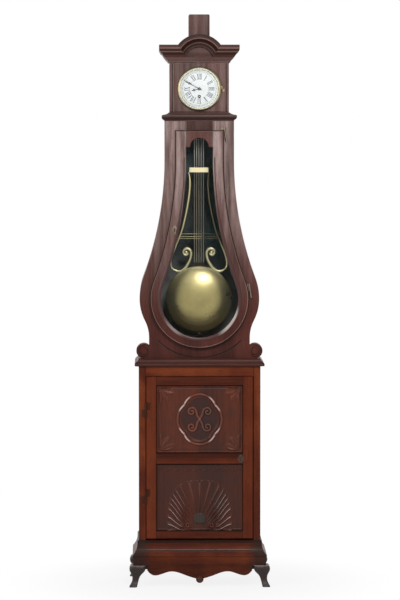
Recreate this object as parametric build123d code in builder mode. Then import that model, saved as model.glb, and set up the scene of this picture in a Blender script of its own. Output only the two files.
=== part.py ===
from build123d import *
import os
from math import asin, atan2, cos, hypot, radians, sin, sqrt

# A free-standing longcase clock with a violin-shaped trunk, in millimetres.
# +Z is up, the front faces -Y, and the origin is on the floor under the middle of the clock.

os.makedirs("parts", exist_ok=True)

# --- driving dimensions: clearances -----------------------------------------------------
running_gap = 0.05  # radial clearance of a shaft in its hole
seat_gap = 0.3  # clearance between curved faces and loose pieces
door_gap = 1.5  # gap all round the cabinet door

# --- driving dimensions: heights of the stages ------------------------------------------
foot_height = 92.0
plinth_height = 103.0
cabinet_height = 731.0
waist_height = 31.0
trunk_height = 995.0
hood_base_height = 36.0
hood_height = 282.0
arch_radius = 112.0
crest_rise = 85.0

# --- driving dimensions: widths and depths ----------------------------------------------
cabinet_width = 510.0
cabinet_depth = 300.0
foot_reach = 42.0  # how far a foot stands out past the cabinet, sideways and to the front
plinth_reach = 27.0
waist_reach = 15.0
trunk_width = 290.0
trunk_depth = 262.0
bulb_width = 502.0
waist_width = 423.0
hood_width = 248.0
hood_depth = 241.0
cornice_reach = 44.0

# --- driving dimensions: boards ----------------------------------------------------------
side_board = 20.0
back_board = 12.0
floor_board = 18.0
face_board = 20.0
trunk_side_board = 15.0
hood_side_board = 18.0

# --- driving dimensions: trunk outline and its door --------------------------------------
bulb_rise = 251.0  # bulb centre above the waist moulding
bulb_round = 250.0  # radius of the bulb's upper shoulder
bulb_tuck = 200.0  # radius of the bulb's lower side
flank_length = 582.0  # from the bulb centre up to where the straight trunk starts
waist_rise = 88.0  # height of the scroll ears
door_inset = 42.0
frame_inset = 64.0
window_inset = 89.0
door_board = 20.0
door_drop = 36.0  # trunk top down to the top of the door
window_drop = 109.0  # trunk top down to the shoulders of the window
window_arch_radius = 38.5
glass_thickness = 3.0
rebate = 8.0

# --- driving dimensions: cabinet door -----------------------------------------------------
stile_width = 29.0
cabinet_door_rise = 5.0  # above the plinth
cabinet_rail = 40.0
door_stile = 43.0
door_top_rail = 40.0
door_mid_rail = 48.0
door_bottom_rail = 34.0
lower_panel_height = 280.0
cabinet_door_board = 22.0
panel_board = 10.0
panel_relief = 7.0

# --- driving dimensions: dial, hands, movement ---------------------------------------------
dial_rise = 99.0  # dial centre above the hood base
dial_radius = 81.0
bezel_radius = 93.0
bezel_depth = 14.0
hour_hand_length = 34.0
minute_hand_length = 71.0
arbor_radius = 2.0
winding_drop = 32.0
plate_width = 100.0
plate_height = 175.0
plate_thickness = 3.0
plate_spacing = 50.0
plate_setback = 40.0  # hood front face to the movement's front plate
seat_board = 14.0

# --- driving dimensions: pendulum ------------------------------------------------------------
pendulum_setback = 150.0  # trunk door's front face to the pendulum's plane
suspension_rise = 177.0  # suspension point above the hood base
pendulum_length = 965.0
bob_radius = 140.0
bob_bulge = 30.0
rod_radius = 2.6
rod_pitch = 9.6
rod_count = 5
crossbar_drop = 418.0  # suspension point down to the crossbar's middle
crossbar_width = 80.0
crossbar_height = 20.0
swing = 2.5  # degrees either side

# --- levels worked out from the heights -------------------------------------------------------
plinth_z = foot_height
cabinet_z = plinth_z + plinth_height
waist_z = cabinet_z + cabinet_height
trunk_z = waist_z + waist_height
hood_base_z = trunk_z + trunk_height
hood_z = hood_base_z + hood_base_height
cornice_top_z = hood_z + hood_height
bulb_z = trunk_z + bulb_rise
dial_z = hood_z + dial_rise
suspension_z = hood_z + suspension_rise
bob_z = suspension_z - pendulum_length

# --- planes worked out from the depths; the backs are flush ----------------------------------------
back_y = (cabinet_depth + foot_reach) / 2
cabinet_front_y = back_y - cabinet_depth
trunk_front_y = back_y - trunk_depth
hood_front_y = back_y - hood_depth
inner_back_y = back_y - back_board
door_front_y = trunk_front_y - door_board
pendulum_y = door_front_y + pendulum_setback
plate_front_y = hood_front_y + plate_setback
plate_back_y = plate_front_y + plate_spacing
cabinet_half = cabinet_width / 2
trunk_half = trunk_width / 2
bulb_half = bulb_width / 2
waist_half = waist_width / 2
hood_half = hood_width / 2


def front_plane(y):
    """Upright plane at y; its sketch axes are X and Z and it extrudes towards the front."""
    return Plane.XZ.offset(-y)


def side_plane(x):
    """Upright plane at x; its sketch axes are Y and Z and it extrudes towards +X."""
    return Plane.YZ.offset(x)


def keep(piece, name):
    """Label a finished piece and write its STEP file."""
    piece.part.label = name
    export_step(piece.part, f"parts/{name}.step")


def contour(start, steps):
    """Draw a moulding's edge; each step goes out and up, bulging by its sagitta."""
    at = start
    for out, up, bulge in steps:
        to = (at[0] + out, at[1] + up)
        if bulge:
            SagittaArc(at, to, bulge)
        else:
            Line(at, to)
        at = to
    return at


def moulded_block(half_width, front_y, base_z, steps):
    """A solid block with the same moulding on its front and both sides, mitred at the corners."""
    with BuildPart() as block:
        with BuildSketch(Plane.XZ):
            with BuildLine():
                top = contour((half_width, base_z), steps)
                Line(top, (0, top[1]))
                Line((0, top[1]), (0, base_z))
                Line((0, base_z), (half_width, base_z))
            make_face()
            mirror(about=Plane.YZ)
        extrude(amount=back_y, both=True)
        with BuildSketch(Plane.YZ):
            with BuildLine():
                top = contour((-front_y, base_z), steps)
                Line(top, (-back_y, top[1]))
                Line((-back_y, top[1]), (-back_y, base_z))
                Line((-back_y, base_z), (-front_y, base_z))
            make_face()
            mirror(about=Plane.YZ, mode=Mode.REPLACE)
        extrude(amount=half_width + cabinet_width, both=True, mode=Mode.INTERSECT)
    return block.part


def slab(x0, x1, y0, y1, z0, z1, mode=Mode.ADD):
    """A plain board between two corners, for use inside a part block."""
    with Locations(((x0 + x1) / 2, (y0 + y1) / 2, (z0 + z1) / 2)):
        Box(abs(x1 - x0), abs(y1 - y0), abs(z1 - z0), mode=mode)


# --- feet: short curled feet, square in plan, leaning out at the toe --------------------------
foot_top = 66.0
foot_ankle = 30.0
foot_toe = 32.0
foot_knee_height = 57.0
foot_ankle_height = 22.0
foot_top_back = 5.0  # how far the top, knee and ankle stand behind the toe
foot_knee_back = 4.0
foot_ankle_back = 11.0
foot_corner = 0.28  # corner radius as a share of the section


def foot(side, front):
    """One foot; a front foot leans out to the front as well, a rear one is flush with the back."""
    sections = (
        (foot_height, foot_reach - foot_top_back, foot_top),
        (foot_knee_height, foot_reach - foot_knee_back, foot_top),
        (foot_ankle_height, foot_reach - foot_ankle_back, foot_ankle),
        (0.0, foot_reach, foot_toe),
    )
    with BuildPart() as piece:
        for height, reach, size in sections:
            middle_x = side * (cabinet_half + reach - size / 2)
            middle_y = cabinet_front_y - reach + size / 2 if front else back_y - size / 2
            with BuildSketch(Plane.XY.offset(height)):
                with Locations((middle_x, middle_y)):
                    RectangleRounded(size, size, size * foot_corner)
        loft()
    return piece.part


for front, name in ((True, "front_feet"), (False, "rear_feet")):
    pair = [foot(side, front) for side in (-1, 1)]
    with BuildPart() as feet:
        add(pair)
    keep(feet, name)

# --- plinth: a ring with a hollow flare, open in the middle --------------------------------------
plinth_rail = 30.0
apron_step = 3.0
plinth_band = 36.0
flare_top = 7.0
flare_hollow = 7.0
band_bevel = 2.0
band_quirk = 3.0
cap_height = 5.0
cap_swell = 1.0
flare_height = plinth_height - plinth_band - band_bevel - band_quirk - cap_height
plinth_steps = (
    (0, plinth_band, 0),
    (apron_step, band_bevel, 0),
    (0, band_quirk, 0),
    (flare_top - plinth_reach, flare_height, flare_hollow),
    (-flare_top, cap_height, -cap_swell),
)
plinth_core = moulded_block(
    cabinet_half + plinth_reach - apron_step,
    cabinet_front_y - plinth_reach + apron_step,
    plinth_z,
    plinth_steps,
)
with BuildPart() as plinth:
    add(plinth_core)
    slab(
        plinth_rail - cabinet_half, cabinet_half - plinth_rail,
        cabinet_front_y + plinth_rail, back_y - plinth_rail,
        plinth_z, cabinet_z, mode=Mode.SUBTRACT,
    )
keep(plinth, "plinth")

# --- aprons: scalloped boards between the feet ------------------------------------------------------
apron_board = 18.0
apron_clear = 6.0  # between an apron's end and the swelling of the foot
apron_half = cabinet_half + foot_reach - foot_top_back - foot_top - apron_clear
apron_end_drop = 22.0  # depths of the wavy edge below the plinth
apron_lobe_drop = 43.0
apron_crest_drop = 27.0
apron_slope_drop = 44.0
apron_middle_drop = 59.0
drop_radius = 16.0
drop_boss = 6.0
drop_round = 4.8
apron_setback = 0.5  # behind the plinth's face
lobe_share = 0.86  # where those depths are, as shares of the half width
crest_share = 0.57
slope_share = 0.25
apron_face_y = cabinet_front_y - plinth_reach + apron_step + apron_setback

with BuildPart() as apron_front:
    with BuildSketch(front_plane(apron_face_y + apron_board)):
        with BuildLine():
            Line((0, plinth_z), (apron_half, plinth_z))
            Line((apron_half, plinth_z), (apron_half, plinth_z - apron_end_drop))
            middle = (0, plinth_z - apron_middle_drop)
            Spline(
                (apron_half, plinth_z - apron_end_drop),
                (apron_half * lobe_share, plinth_z - apron_lobe_drop),
                (apron_half * crest_share, plinth_z - apron_crest_drop),
                (apron_half * slope_share, plinth_z - apron_slope_drop),
                middle,
            )
            Line(middle, (0, plinth_z))
        make_face()
        mirror(about=Plane.YZ)
    extrude(amount=apron_board)
    with BuildSketch(front_plane(apron_face_y + apron_board)):
        with Locations((0, plinth_z - apron_middle_drop)):
            Circle(drop_radius)
    extrude(amount=apron_board + drop_boss)
    boss_edge = apron_front.edges().filter_by(GeomType.CIRCLE).sort_by(Axis.Y)[0]
    fillet(boss_edge, drop_round)
keep(apron_front, "apron_front")

side_apron_rise = 14.0
side_apron_drop = 36.0
side_apron_clear = 9.0
side_apron_x = cabinet_half + plinth_reach - apron_step - apron_setback
side_apron_front = cabinet_front_y - foot_reach + foot_top_back + foot_top + side_apron_clear
side_apron_back = back_y - foot_top - side_apron_clear
with BuildPart() as side_aprons:
    with BuildSketch(side_plane(side_apron_x - apron_board)):
        with BuildLine():
            Polyline(
                (side_apron_back, plinth_z - side_apron_drop),
                (side_apron_back, plinth_z),
                (side_apron_front, plinth_z),
                (side_apron_front, plinth_z - side_apron_drop),
            )
            SagittaArc(
                (side_apron_front, plinth_z - side_apron_drop),
                (side_apron_back, plinth_z - side_apron_drop),
                side_apron_rise,
            )
        make_face()
    extrude(amount=apron_board)
    mirror(about=Plane.YZ)
keep(side_aprons, "side_aprons")

# --- cabinet carcass --------------------------------------------------------------------------------
floor_gap = 1.0  # behind the front frame and the closed door
arris = 3.0  # chamfer on the cabinet's and the doors' edges
frame_back_y = cabinet_front_y + cabinet_door_board
inner_half = cabinet_half - side_board

with BuildPart() as cabinet_floor:
    slab(
        -inner_half, inner_half, frame_back_y + floor_gap, inner_back_y,
        cabinet_z, cabinet_z + floor_board,
    )
keep(cabinet_floor, "cabinet_floor")

with BuildPart() as cabinet_sides:
    slab(inner_half, cabinet_half, frame_back_y, inner_back_y, cabinet_z, waist_z)
    mirror(about=Plane.YZ)
keep(cabinet_sides, "cabinet_sides")

with BuildPart() as cabinet_back:
    slab(-cabinet_half, cabinet_half, inner_back_y, back_y, cabinet_z, waist_z)
keep(cabinet_back, "cabinet_back")

stile_x = cabinet_half - stile_width
rail_z = waist_z - cabinet_rail
with BuildPart() as cabinet_front_frame:
    slab(-cabinet_half, cabinet_half, cabinet_front_y, frame_back_y, cabinet_z, waist_z)
    slab(
        -stile_x, stile_x, cabinet_front_y, frame_back_y,
        cabinet_z, rail_z, mode=Mode.SUBTRACT,
    )
    corners = cabinet_front_frame.edges().filter_by(Axis.Z).group_by(Axis.Y)[0]
    chamfer(corners.group_by(Axis.X)[0] + corners.group_by(Axis.X)[-1], arris)
keep(cabinet_front_frame, "cabinet_front_frame")

# --- cabinet door: frame, two carved panels ---------------------------------------------------------
door_half = stile_x - door_gap
door_z0 = cabinet_z + cabinet_door_rise
door_z1 = rail_z - door_gap
panel_half = door_half - door_stile
lower_z0 = door_z0 + door_bottom_rail
lower_z1 = lower_z0 + lower_panel_height
upper_z0 = lower_z1 + door_mid_rail
upper_z1 = door_z1 - door_top_rail
panel_back_gap = 2.0
panel_y = frame_back_y - panel_back_gap - panel_board

key_inset = 9.0  # panel edge in to the keyhole
shank_radius = 2.5
keyhole_radius = shank_radius + 0.7
key_x = panel_half - key_inset
key_z = (lower_z1 + upper_z0) / 2

with BuildPart() as cabinet_door_frame:
    slab(-door_half, door_half, cabinet_front_y, frame_back_y, door_z0, door_z1)
    for z0, z1 in ((lower_z0, lower_z1), (upper_z0, upper_z1)):
        slab(-panel_half, panel_half, cabinet_front_y, frame_back_y, z0, z1, mode=Mode.SUBTRACT)
    opening_edges = cabinet_door_frame.edges().group_by(Axis.Y)[0]
    chamfer(opening_edges, arris)
    for z0, z1 in ((lower_z0, lower_z1), (upper_z0, upper_z1)):
        slab(
            -panel_half - rebate, panel_half + rebate, panel_y, frame_back_y,
            z0 - rebate, z1 + rebate, mode=Mode.SUBTRACT,
        )
    with BuildSketch(front_plane(frame_back_y)):
        with Locations((key_x, key_z)):
            Circle(keyhole_radius)
    extrude(amount=cabinet_door_board, mode=Mode.SUBTRACT)
keep(cabinet_door_frame, "cabinet_door_frame")

panel_play = 0.5
panel_fit = rebate - panel_play
medallion_half_width = 95.0
medallion_half_height = 108.0
side_lobe = 80.0  # radii of the four shallow lobes
upright_lobe = 71.0
with BuildPart() as upper_panel:
    slab(
        -panel_half - panel_fit, panel_half + panel_fit, panel_y, panel_y + panel_board,
        upper_z0 - panel_fit, upper_z1 + panel_fit,
    )
    upper_middle = (upper_z0 + upper_z1) / 2
    with BuildSketch(front_plane(panel_y)):
        lobe_x = medallion_half_width - side_lobe
        lobe_z = medallion_half_height - upright_lobe
        with Locations((lobe_x, upper_middle), (-lobe_x, upper_middle)):
            Circle(side_lobe)
        with Locations((0, upper_middle + lobe_z), (0, upper_middle - lobe_z)):
            Circle(upright_lobe)
    extrude(amount=panel_relief)
keep(upper_panel, "upper_panel")

fan_half_width = 141.0
fan_height = 152.0
fan_foot_rise = 64.0
with BuildPart() as lower_panel:
    slab(
        -panel_half - panel_fit, panel_half + panel_fit, panel_y, panel_y + panel_board,
        lower_z0 - panel_fit, lower_z1 + panel_fit,
    )
    with BuildSketch(front_plane(panel_y)):
        with Locations((0, lower_z0 + fan_foot_rise)):
            Ellipse(fan_half_width, fan_height)
            Rectangle(
                cabinet_width, 2 * fan_height, align=(Align.CENTER, Align.MAX), mode=Mode.SUBTRACT
            )
    extrude(amount=panel_relief)
keep(lower_panel, "lower_panel")

# --- hinges: a post with a fixed pin on the case, a sleeve on the door ------------------------------
hinge_length = 60.0
hinge_pin = 1.6
hinge_knuckle = 4.0
hinge_leaf = 1.6
hinge_proud = 4.2  # axis in front of the face it is fixed to
leaf_width = 17.0
knuckle_gap = 0.2  # between the two knuckles of a hinge
pin_setback = 4.0  # pin end to the top of the sleeve
pin_top_gap = 0.2


def hinge_post(plane, leaf_x, leaf_y):
    """Lower knuckle with its pin and leaf; the leaf reaches out by leaf_x or back by leaf_y."""
    half = hinge_length / 2
    with BuildPart(plane) as post:
        with Locations((0, 0, -half / 2 - knuckle_gap / 2)):
            Cylinder(hinge_knuckle, half - knuckle_gap)
        Cylinder(hinge_pin, hinge_length - 2 * pin_setback)
        with Locations((leaf_x / 2, leaf_y / 2, -half / 2 - knuckle_gap / 2)):
            Box(max(abs(leaf_x), hinge_leaf), max(abs(leaf_y), hinge_leaf), half - knuckle_gap)
    return post.part


def hinge_sleeve(plane, leaf_x, leaf_y):
    """Upper knuckle, bored for the pin, with its leaf."""
    half = hinge_length / 2
    with BuildPart(plane) as sleeve:
        with Locations((0, 0, half / 2 + knuckle_gap / 2)):
            Cylinder(hinge_knuckle, half - knuckle_gap)
            with Locations((leaf_x / 2, leaf_y / 2)):
                Box(max(abs(leaf_x), hinge_leaf), max(abs(leaf_y), hinge_leaf), half - knuckle_gap)
        Cylinder(
            hinge_pin + running_gap, hinge_length - 2 * (pin_setback - pin_top_gap),
            mode=Mode.SUBTRACT,
        )
    return sleeve.part


# cabinet hinges: on the front face at the left edge, leaves flat on the stile and on the door
cabinet_hinge_x = -(stile_x - door_gap / 2)
cabinet_hinge_y = cabinet_front_y - hinge_proud
cabinet_hinge_drop = 140.0  # door top down to the upper hinge
cabinet_hinge_rise = 180.0  # door bottom up to the lower hinge
leaf_back = hinge_proud - hinge_leaf / 2


def flat_leaf(plane, side, up):
    """A leaf that lies on the face behind the knuckle and is joined to it by a short web."""
    middle = hinge_length / 4 + knuckle_gap / 2
    with BuildPart(plane) as leaf:
        with Locations((side * leaf_width / 2, leaf_back, up * middle)):
            Box(leaf_width, hinge_leaf, hinge_length / 2 - knuckle_gap)
        with Locations((side * hinge_leaf / 2, leaf_back / 2, up * middle)):
            Box(hinge_leaf, leaf_back, hinge_length / 2 - knuckle_gap)
        Cylinder(hinge_pin + running_gap, hinge_length, mode=Mode.SUBTRACT)
    return leaf.part


cabinet_hinge_levels = (door_z0 + cabinet_hinge_rise, door_z1 - cabinet_hinge_drop)
cabinet_hinge_planes = [
    Plane(origin=(cabinet_hinge_x, cabinet_hinge_y, z), x_dir=(1, 0, 0), z_dir=(0, 0, 1))
    for z in cabinet_hinge_levels
]
cabinet_posts = [hinge_post(plane, 0, 0) for plane in cabinet_hinge_planes]
cabinet_post_leaves = [flat_leaf(plane, -1, -1) for plane in cabinet_hinge_planes]
with BuildPart() as cabinet_hinge_posts:
    add(cabinet_posts)
    add(cabinet_post_leaves)
keep(cabinet_hinge_posts, "cabinet_hinge_posts")

cabinet_sleeves = [hinge_sleeve(plane, 0, 0) for plane in cabinet_hinge_planes]
cabinet_sleeve_leaves = [flat_leaf(plane, 1, 1) for plane in cabinet_hinge_planes]
with BuildPart() as cabinet_hinge_sleeves:
    add(cabinet_sleeves)
    add(cabinet_sleeve_leaves)
keep(cabinet_hinge_sleeves, "cabinet_hinge_sleeves")

# --- keys and escutcheons ----------------------------------------------------------------------------
bow_outer = 9.0
bow_inner = 6.0
bow_thickness = 3.0
bow_reach = 16.0  # door face to the middle of the bow
bow_bite = 1.0  # how far the shank runs into the ring
escutcheon_plate = 1.6
plate_body = 0.6  # height of the oval as a share of the plate
plate_tip = 0.7  # size of the pointed ends as a share of the width
cabinet_plate_half = (13.0, 20.0)
trunk_plate_half = (11.0, 25.0)


def key_blank(x, z, face_y, tail_y):
    """Shank from behind the lock to the bow, with the ring-shaped bow standing upright."""
    with BuildPart() as key:
        with BuildSketch(front_plane(tail_y)):
            with Locations((x, z)):
                Circle(shank_radius)
        extrude(amount=tail_y - face_y + bow_reach - bow_inner - bow_bite)
        with BuildSketch(side_plane(x - bow_thickness / 2)):
            with Locations((face_y - bow_reach, z)):
                Circle(bow_outer)
                Circle(bow_inner, mode=Mode.SUBTRACT)
        extrude(amount=bow_thickness)
    return key.part


def escutcheon_plate_at(x, z, face_y, half_width, half_height):
    """A pointed plate with waisted sides, bored for the key."""
    with BuildPart() as plate:
        with BuildSketch(front_plane(face_y)):
            with Locations((x, z)):
                Ellipse(half_width, half_height * plate_body)
                with GridLocations(0, half_height, 1, 2):
                    RegularPolygon(half_width * plate_tip, 4, rotation=45)
                Circle(shank_radius + seat_gap, mode=Mode.SUBTRACT)
        extrude(amount=escutcheon_plate)
    return plate.part


lock_depth = 12.0
lock_height = 34.0
lock_wall = 2.0
lock_backset = 14.0  # keyhole to the far end of the case
bolt_setback = 1.0  # bolt behind the edge of the door
bolt_clear = 4.0  # key shank to the bolt
lock_x0 = key_x - lock_backset
lock_x1 = door_half - bolt_setback
bolt_travel = 8.0
bolt_height = 12.0
bolt_thickness = 5.0
bolt_y = frame_back_y + lock_depth / 2

cabinet_plate = escutcheon_plate_at(key_x, key_z, cabinet_front_y, *cabinet_plate_half)
with BuildPart() as cabinet_escutcheon:
    add(cabinet_plate)
keep(cabinet_escutcheon, "cabinet_escutcheon")

cabinet_blank = key_blank(key_x, key_z, cabinet_front_y, frame_back_y + lock_wall)
with BuildPart() as cabinet_key:
    add(cabinet_blank)
keep(cabinet_key, "cabinet_key")

with BuildPart() as cabinet_lock_case:
    slab(
        lock_x0, lock_x1, frame_back_y, frame_back_y + lock_depth,
        key_z - lock_height / 2, key_z + lock_height / 2,
    )
    slab(
        lock_x0 + lock_wall, lock_x1 + lock_wall, bolt_y - bolt_thickness / 2 - running_gap,
        bolt_y + bolt_thickness / 2 + running_gap,
        key_z - bolt_height / 2 - running_gap, key_z + bolt_height / 2 + running_gap,
        mode=Mode.SUBTRACT,
    )
    with BuildSketch(front_plane(frame_back_y + lock_depth / 2)):
        with Locations((key_x, key_z)):
            Circle(shank_radius + seat_gap)
    extrude(amount=lock_depth, mode=Mode.SUBTRACT)
keep(cabinet_lock_case, "cabinet_lock_case")

with BuildPart() as cabinet_bolt:
    slab(
        key_x + shank_radius + bolt_clear, lock_x1, bolt_y - bolt_thickness / 2,
        bolt_y + bolt_thickness / 2, key_z - bolt_height / 2, key_z + bolt_height / 2,
    )
keep(cabinet_bolt, "cabinet_bolt")

# --- waist moulding: the board between the cabinet and the trunk --------------------------------------
waist_fillet = 3.0
waist_quirk = 2.0
waist_band = 12.0
waist_set_back = 14.0  # the slope over the band
waist_swell = 2.0
waist_weathering = waist_height - waist_quirk - waist_band - waist_fillet
waist_steps = (
    (waist_reach, waist_quirk, 0),
    (0, waist_band, -waist_swell),
    (-waist_set_back, waist_weathering, 0),
    (0, waist_fillet, 0),
)
waist_core = moulded_block(cabinet_half, cabinet_front_y, waist_z, waist_steps)
with BuildPart() as waist_board:
    add(waist_core)
keep(waist_board, "waist_board")

# --- trunk outline --------------------------------------------------------------------------------------
flank_z = bulb_z + flank_length
waist_level = trunk_z + waist_rise


def s_curve(out, rise, radius):
    """Two arcs that swing out by out over rise; returns their angle and the other radius."""
    angle = 2 * atan2(out, rise)
    return angle, rise / sin(angle) - radius


flank_angle, flank_radius = s_curve(bulb_half - trunk_half, flank_length, bulb_round)
tuck_angle, tuck_radius = s_curve(bulb_half - waist_half, bulb_z - waist_level, bulb_tuck)


def on_arc(centre, radius, angle):
    """Point on a circle, the angle in radians from +X."""
    return (centre[0] + radius * cos(angle), centre[1] + radius * sin(angle))


def swept_arc(centre, radius, start, end):
    """Arc about a centre between two angles."""
    middle = (start + end) / 2
    ThreePointArc(
        on_arc(centre, radius, start), on_arc(centre, radius, middle), on_arc(centre, radius, end)
    )


def violin_half(inset, top_z, arch=0.0, round_bottom=True):
    """Right half of the violin outline, moved inwards by inset, down from the top middle."""
    half_turn = radians(180)
    flank_reach = flank_radius + inset
    flank_start = asin(max(flank_z - top_z, 0.0) / flank_reach)
    side_x = trunk_half + flank_radius - flank_reach * cos(flank_start)
    if arch:
        swept_arc((0, top_z), arch, half_turn / 2, 0)
        Line((arch, top_z), (side_x, top_z))
    else:
        Line((0, top_z), (side_x, top_z))
    if top_z > flank_z:
        Line((side_x, top_z), (side_x, flank_z))
    flank_centre = (trunk_half + flank_radius, flank_z)
    swept_arc(flank_centre, flank_reach, half_turn + flank_start, half_turn + flank_angle)
    swept_arc((bulb_half - bulb_round, bulb_z), bulb_round - inset, flank_angle, 0)
    if round_bottom:
        swept_arc((0, bulb_z), bulb_half - inset, 0, -half_turn / 2)
        Line((0, bulb_z - bulb_half + inset), (0, top_z + arch))
        return
    swept_arc((bulb_half - bulb_tuck, bulb_z), bulb_tuck - inset, 0, -tuck_angle)
    tuck_centre = (waist_half + tuck_radius, waist_level)
    swept_arc(tuck_centre, tuck_radius + inset, half_turn - tuck_angle, half_turn)
    foot_x = waist_half - inset
    Line((foot_x, waist_level), (foot_x, trunk_z))
    Line((foot_x, trunk_z), (0, trunk_z))
    Line((0, trunk_z), (0, top_z))


def violin_board(back, thickness, inset, top_z, arch=0.0, round_bottom=True):
    """A flat board of the violin outline, from its back plane forwards."""
    with BuildPart() as board:
        with BuildSketch(front_plane(back)):
            with BuildLine():
                violin_half(inset, top_z, arch, round_bottom)
            make_face()
            mirror(about=Plane.YZ)
        extrude(amount=thickness)
    return board.part


door_top_z = hood_base_z - door_drop
window_top_z = hood_base_z - window_drop
side_front_y = trunk_front_y + face_board

# --- trunk hinges: a leaning axis that passes close to the door's top corner and its bulb -----------------
axis_gap = 5.5  # door edge to the hinge axis at the bulb
axis_setback = 5.6  # hinge axis in front of the face frame
upper_hinge_drop = 20.0  # door top down to the middle of the upper hinge
axis_top = (trunk_half - door_inset + axis_gap, door_top_z - upper_hinge_drop)
axis_ring = bulb_round - door_inset + axis_gap
ring_centre = (bulb_half - bulb_round, bulb_z)
axis_span = hypot(axis_top[0] - ring_centre[0], axis_top[1] - ring_centre[1])
axis_lean = atan2(axis_top[0] - ring_centre[0], axis_top[1] - ring_centre[1])
axis_angle = atan2(axis_ring, sqrt(axis_span**2 - axis_ring**2)) - axis_lean
axis_low = on_arc(ring_centre, axis_ring, axis_angle)
trunk_axis = Vector(-sin(axis_angle), 0, cos(axis_angle))
trunk_axis_y = trunk_front_y - axis_setback
trunk_hinge_planes = [
    Plane(origin=(x, trunk_axis_y, z), x_dir=(cos(axis_angle), 0, sin(axis_angle)), z_dir=trunk_axis)
    for x, z in (axis_top, axis_low)
]

leaf_bite = 0.6  # share of the face frame that the leaf is let into
case_leaf = axis_setback + face_board * leaf_bite
post_pieces = [hinge_post(plane, 0, case_leaf) for plane in trunk_hinge_planes]
sleeve_pieces = [hinge_sleeve(plane, -leaf_width, 0) for plane in trunk_hinge_planes]
with BuildPart() as trunk_hinge_posts:
    add(post_pieces)
keep(trunk_hinge_posts, "trunk_hinge_posts")
with BuildPart() as trunk_hinge_sleeves:
    add(sleeve_pieces)
keep(trunk_hinge_sleeves, "trunk_hinge_sleeves")

# --- trunk carcass -----------------------------------------------------------------------------------------
face_blank = violin_board(side_front_y, face_board, 0, hood_base_z, round_bottom=False)
face_opening = violin_board(
    side_front_y, face_board, frame_inset, door_top_z - frame_inset + door_inset
)
with BuildPart() as trunk_face_frame:
    add(face_blank)
    add(face_opening, mode=Mode.SUBTRACT)
    add(post_pieces, mode=Mode.SUBTRACT)
keep(trunk_face_frame, "trunk_face_frame")

side_depth = inner_back_y - side_front_y
side_outer = violin_board(inner_back_y, side_depth, 0, hood_base_z, round_bottom=False)
side_inner = violin_board(
    inner_back_y, side_depth, trunk_side_board, hood_base_z, round_bottom=False
)
with BuildPart() as trunk_sides:
    add(side_outer)
    add(side_inner, mode=Mode.SUBTRACT)
keep(trunk_sides, "trunk_sides")

back_blank = violin_board(back_y, back_board, 0, hood_base_z, round_bottom=False)
with BuildPart() as trunk_back:
    add(back_blank)
keep(trunk_back, "trunk_back")

# --- scroll ears at the foot of the trunk -------------------------------------------------------------------
ear_radius = 31.0
ear_offset = 22.5  # trunk side to the middle of the scroll
ear_depth = 60.0
ear_relief = 6.0
ear_boss = 0.45  # boss and neck as shares of the radius
ear_neck = 0.55
ear_gap = 1.0  # scroll above the waist moulding
with BuildPart() as scroll_ears:
    ear_x = waist_half + ear_offset
    ear_z = trunk_z + ear_radius + ear_gap
    neck_z = ear_z + ear_neck * ear_radius
    with BuildSketch(front_plane(trunk_front_y + ear_depth)):
        with BuildLine():
            Line((waist_half, trunk_z), (waist_half, neck_z))
            Line((waist_half, neck_z), (ear_x, neck_z))
            Line((ear_x, neck_z), (ear_x, trunk_z))
            Line((ear_x, trunk_z), (waist_half, trunk_z))
        make_face()
        with Locations((ear_x, ear_z)):
            Circle(ear_radius)
        with Locations((waist_half, ear_z)):
            Rectangle(
                2 * ear_radius, 3 * ear_radius, align=(Align.MAX, Align.CENTER),
                mode=Mode.SUBTRACT,
            )
    extrude(amount=ear_depth)
    with BuildSketch(front_plane(trunk_front_y)):
        with Locations((ear_x, ear_z)):
            Circle(ear_radius * ear_boss)
    extrude(amount=ear_relief)
    mirror(about=Plane.YZ)
keep(scroll_ears, "scroll_ears")

# --- trunk door ----------------------------------------------------------------------------------
latch_rise = 290.0  # above the bulb centre
latch_z = bulb_z + latch_rise
latch_clear = 8.0  # key shank to the edge of the face frame
flank_x = trunk_half + flank_radius - sqrt(flank_radius**2 - (flank_z - latch_z) ** 2)
latch_x = -(flank_x - frame_inset - latch_clear)
door_edge_round = 5.0
door_blank = violin_board(trunk_front_y, door_board, door_inset, door_top_z)
door_window = violin_board(
    trunk_front_y, door_board, window_inset, window_top_z, arch=window_arch_radius
)
door_rebate = violin_board(
    trunk_front_y, rebate, window_inset - rebate, window_top_z + rebate,
    arch=window_arch_radius + rebate,
)
with BuildPart() as trunk_door_frame:
    add(door_blank)
    front_edges = trunk_door_frame.edges().group_by(Axis.Y)[0]
    chamfer(front_edges, door_edge_round)
    add(door_window, mode=Mode.SUBTRACT)
    window_rim = trunk_door_frame.faces().sort_by(Axis.Y)[0].inner_wires()[0].edges()
    chamfer(window_rim, arris)
    add(door_rebate, mode=Mode.SUBTRACT)
    add(sleeve_pieces, mode=Mode.SUBTRACT)
    with BuildSketch(front_plane(trunk_front_y)):
        with Locations((latch_x, latch_z)):
            Circle(shank_radius + seat_gap)
    extrude(amount=door_board, mode=Mode.SUBTRACT)
keep(trunk_door_frame, "trunk_door_frame")

glass_fit = 0.5
glass_inset = window_inset - rebate + glass_fit
glass_front_y = trunk_front_y - rebate
glass_blank = violin_board(
    glass_front_y + glass_thickness, glass_thickness, glass_inset,
    window_top_z + rebate - glass_fit, arch=window_arch_radius + rebate - glass_fit,
)
with BuildPart() as trunk_door_glass:
    add(glass_blank)
keep(trunk_door_glass, "trunk_door_glass")

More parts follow.
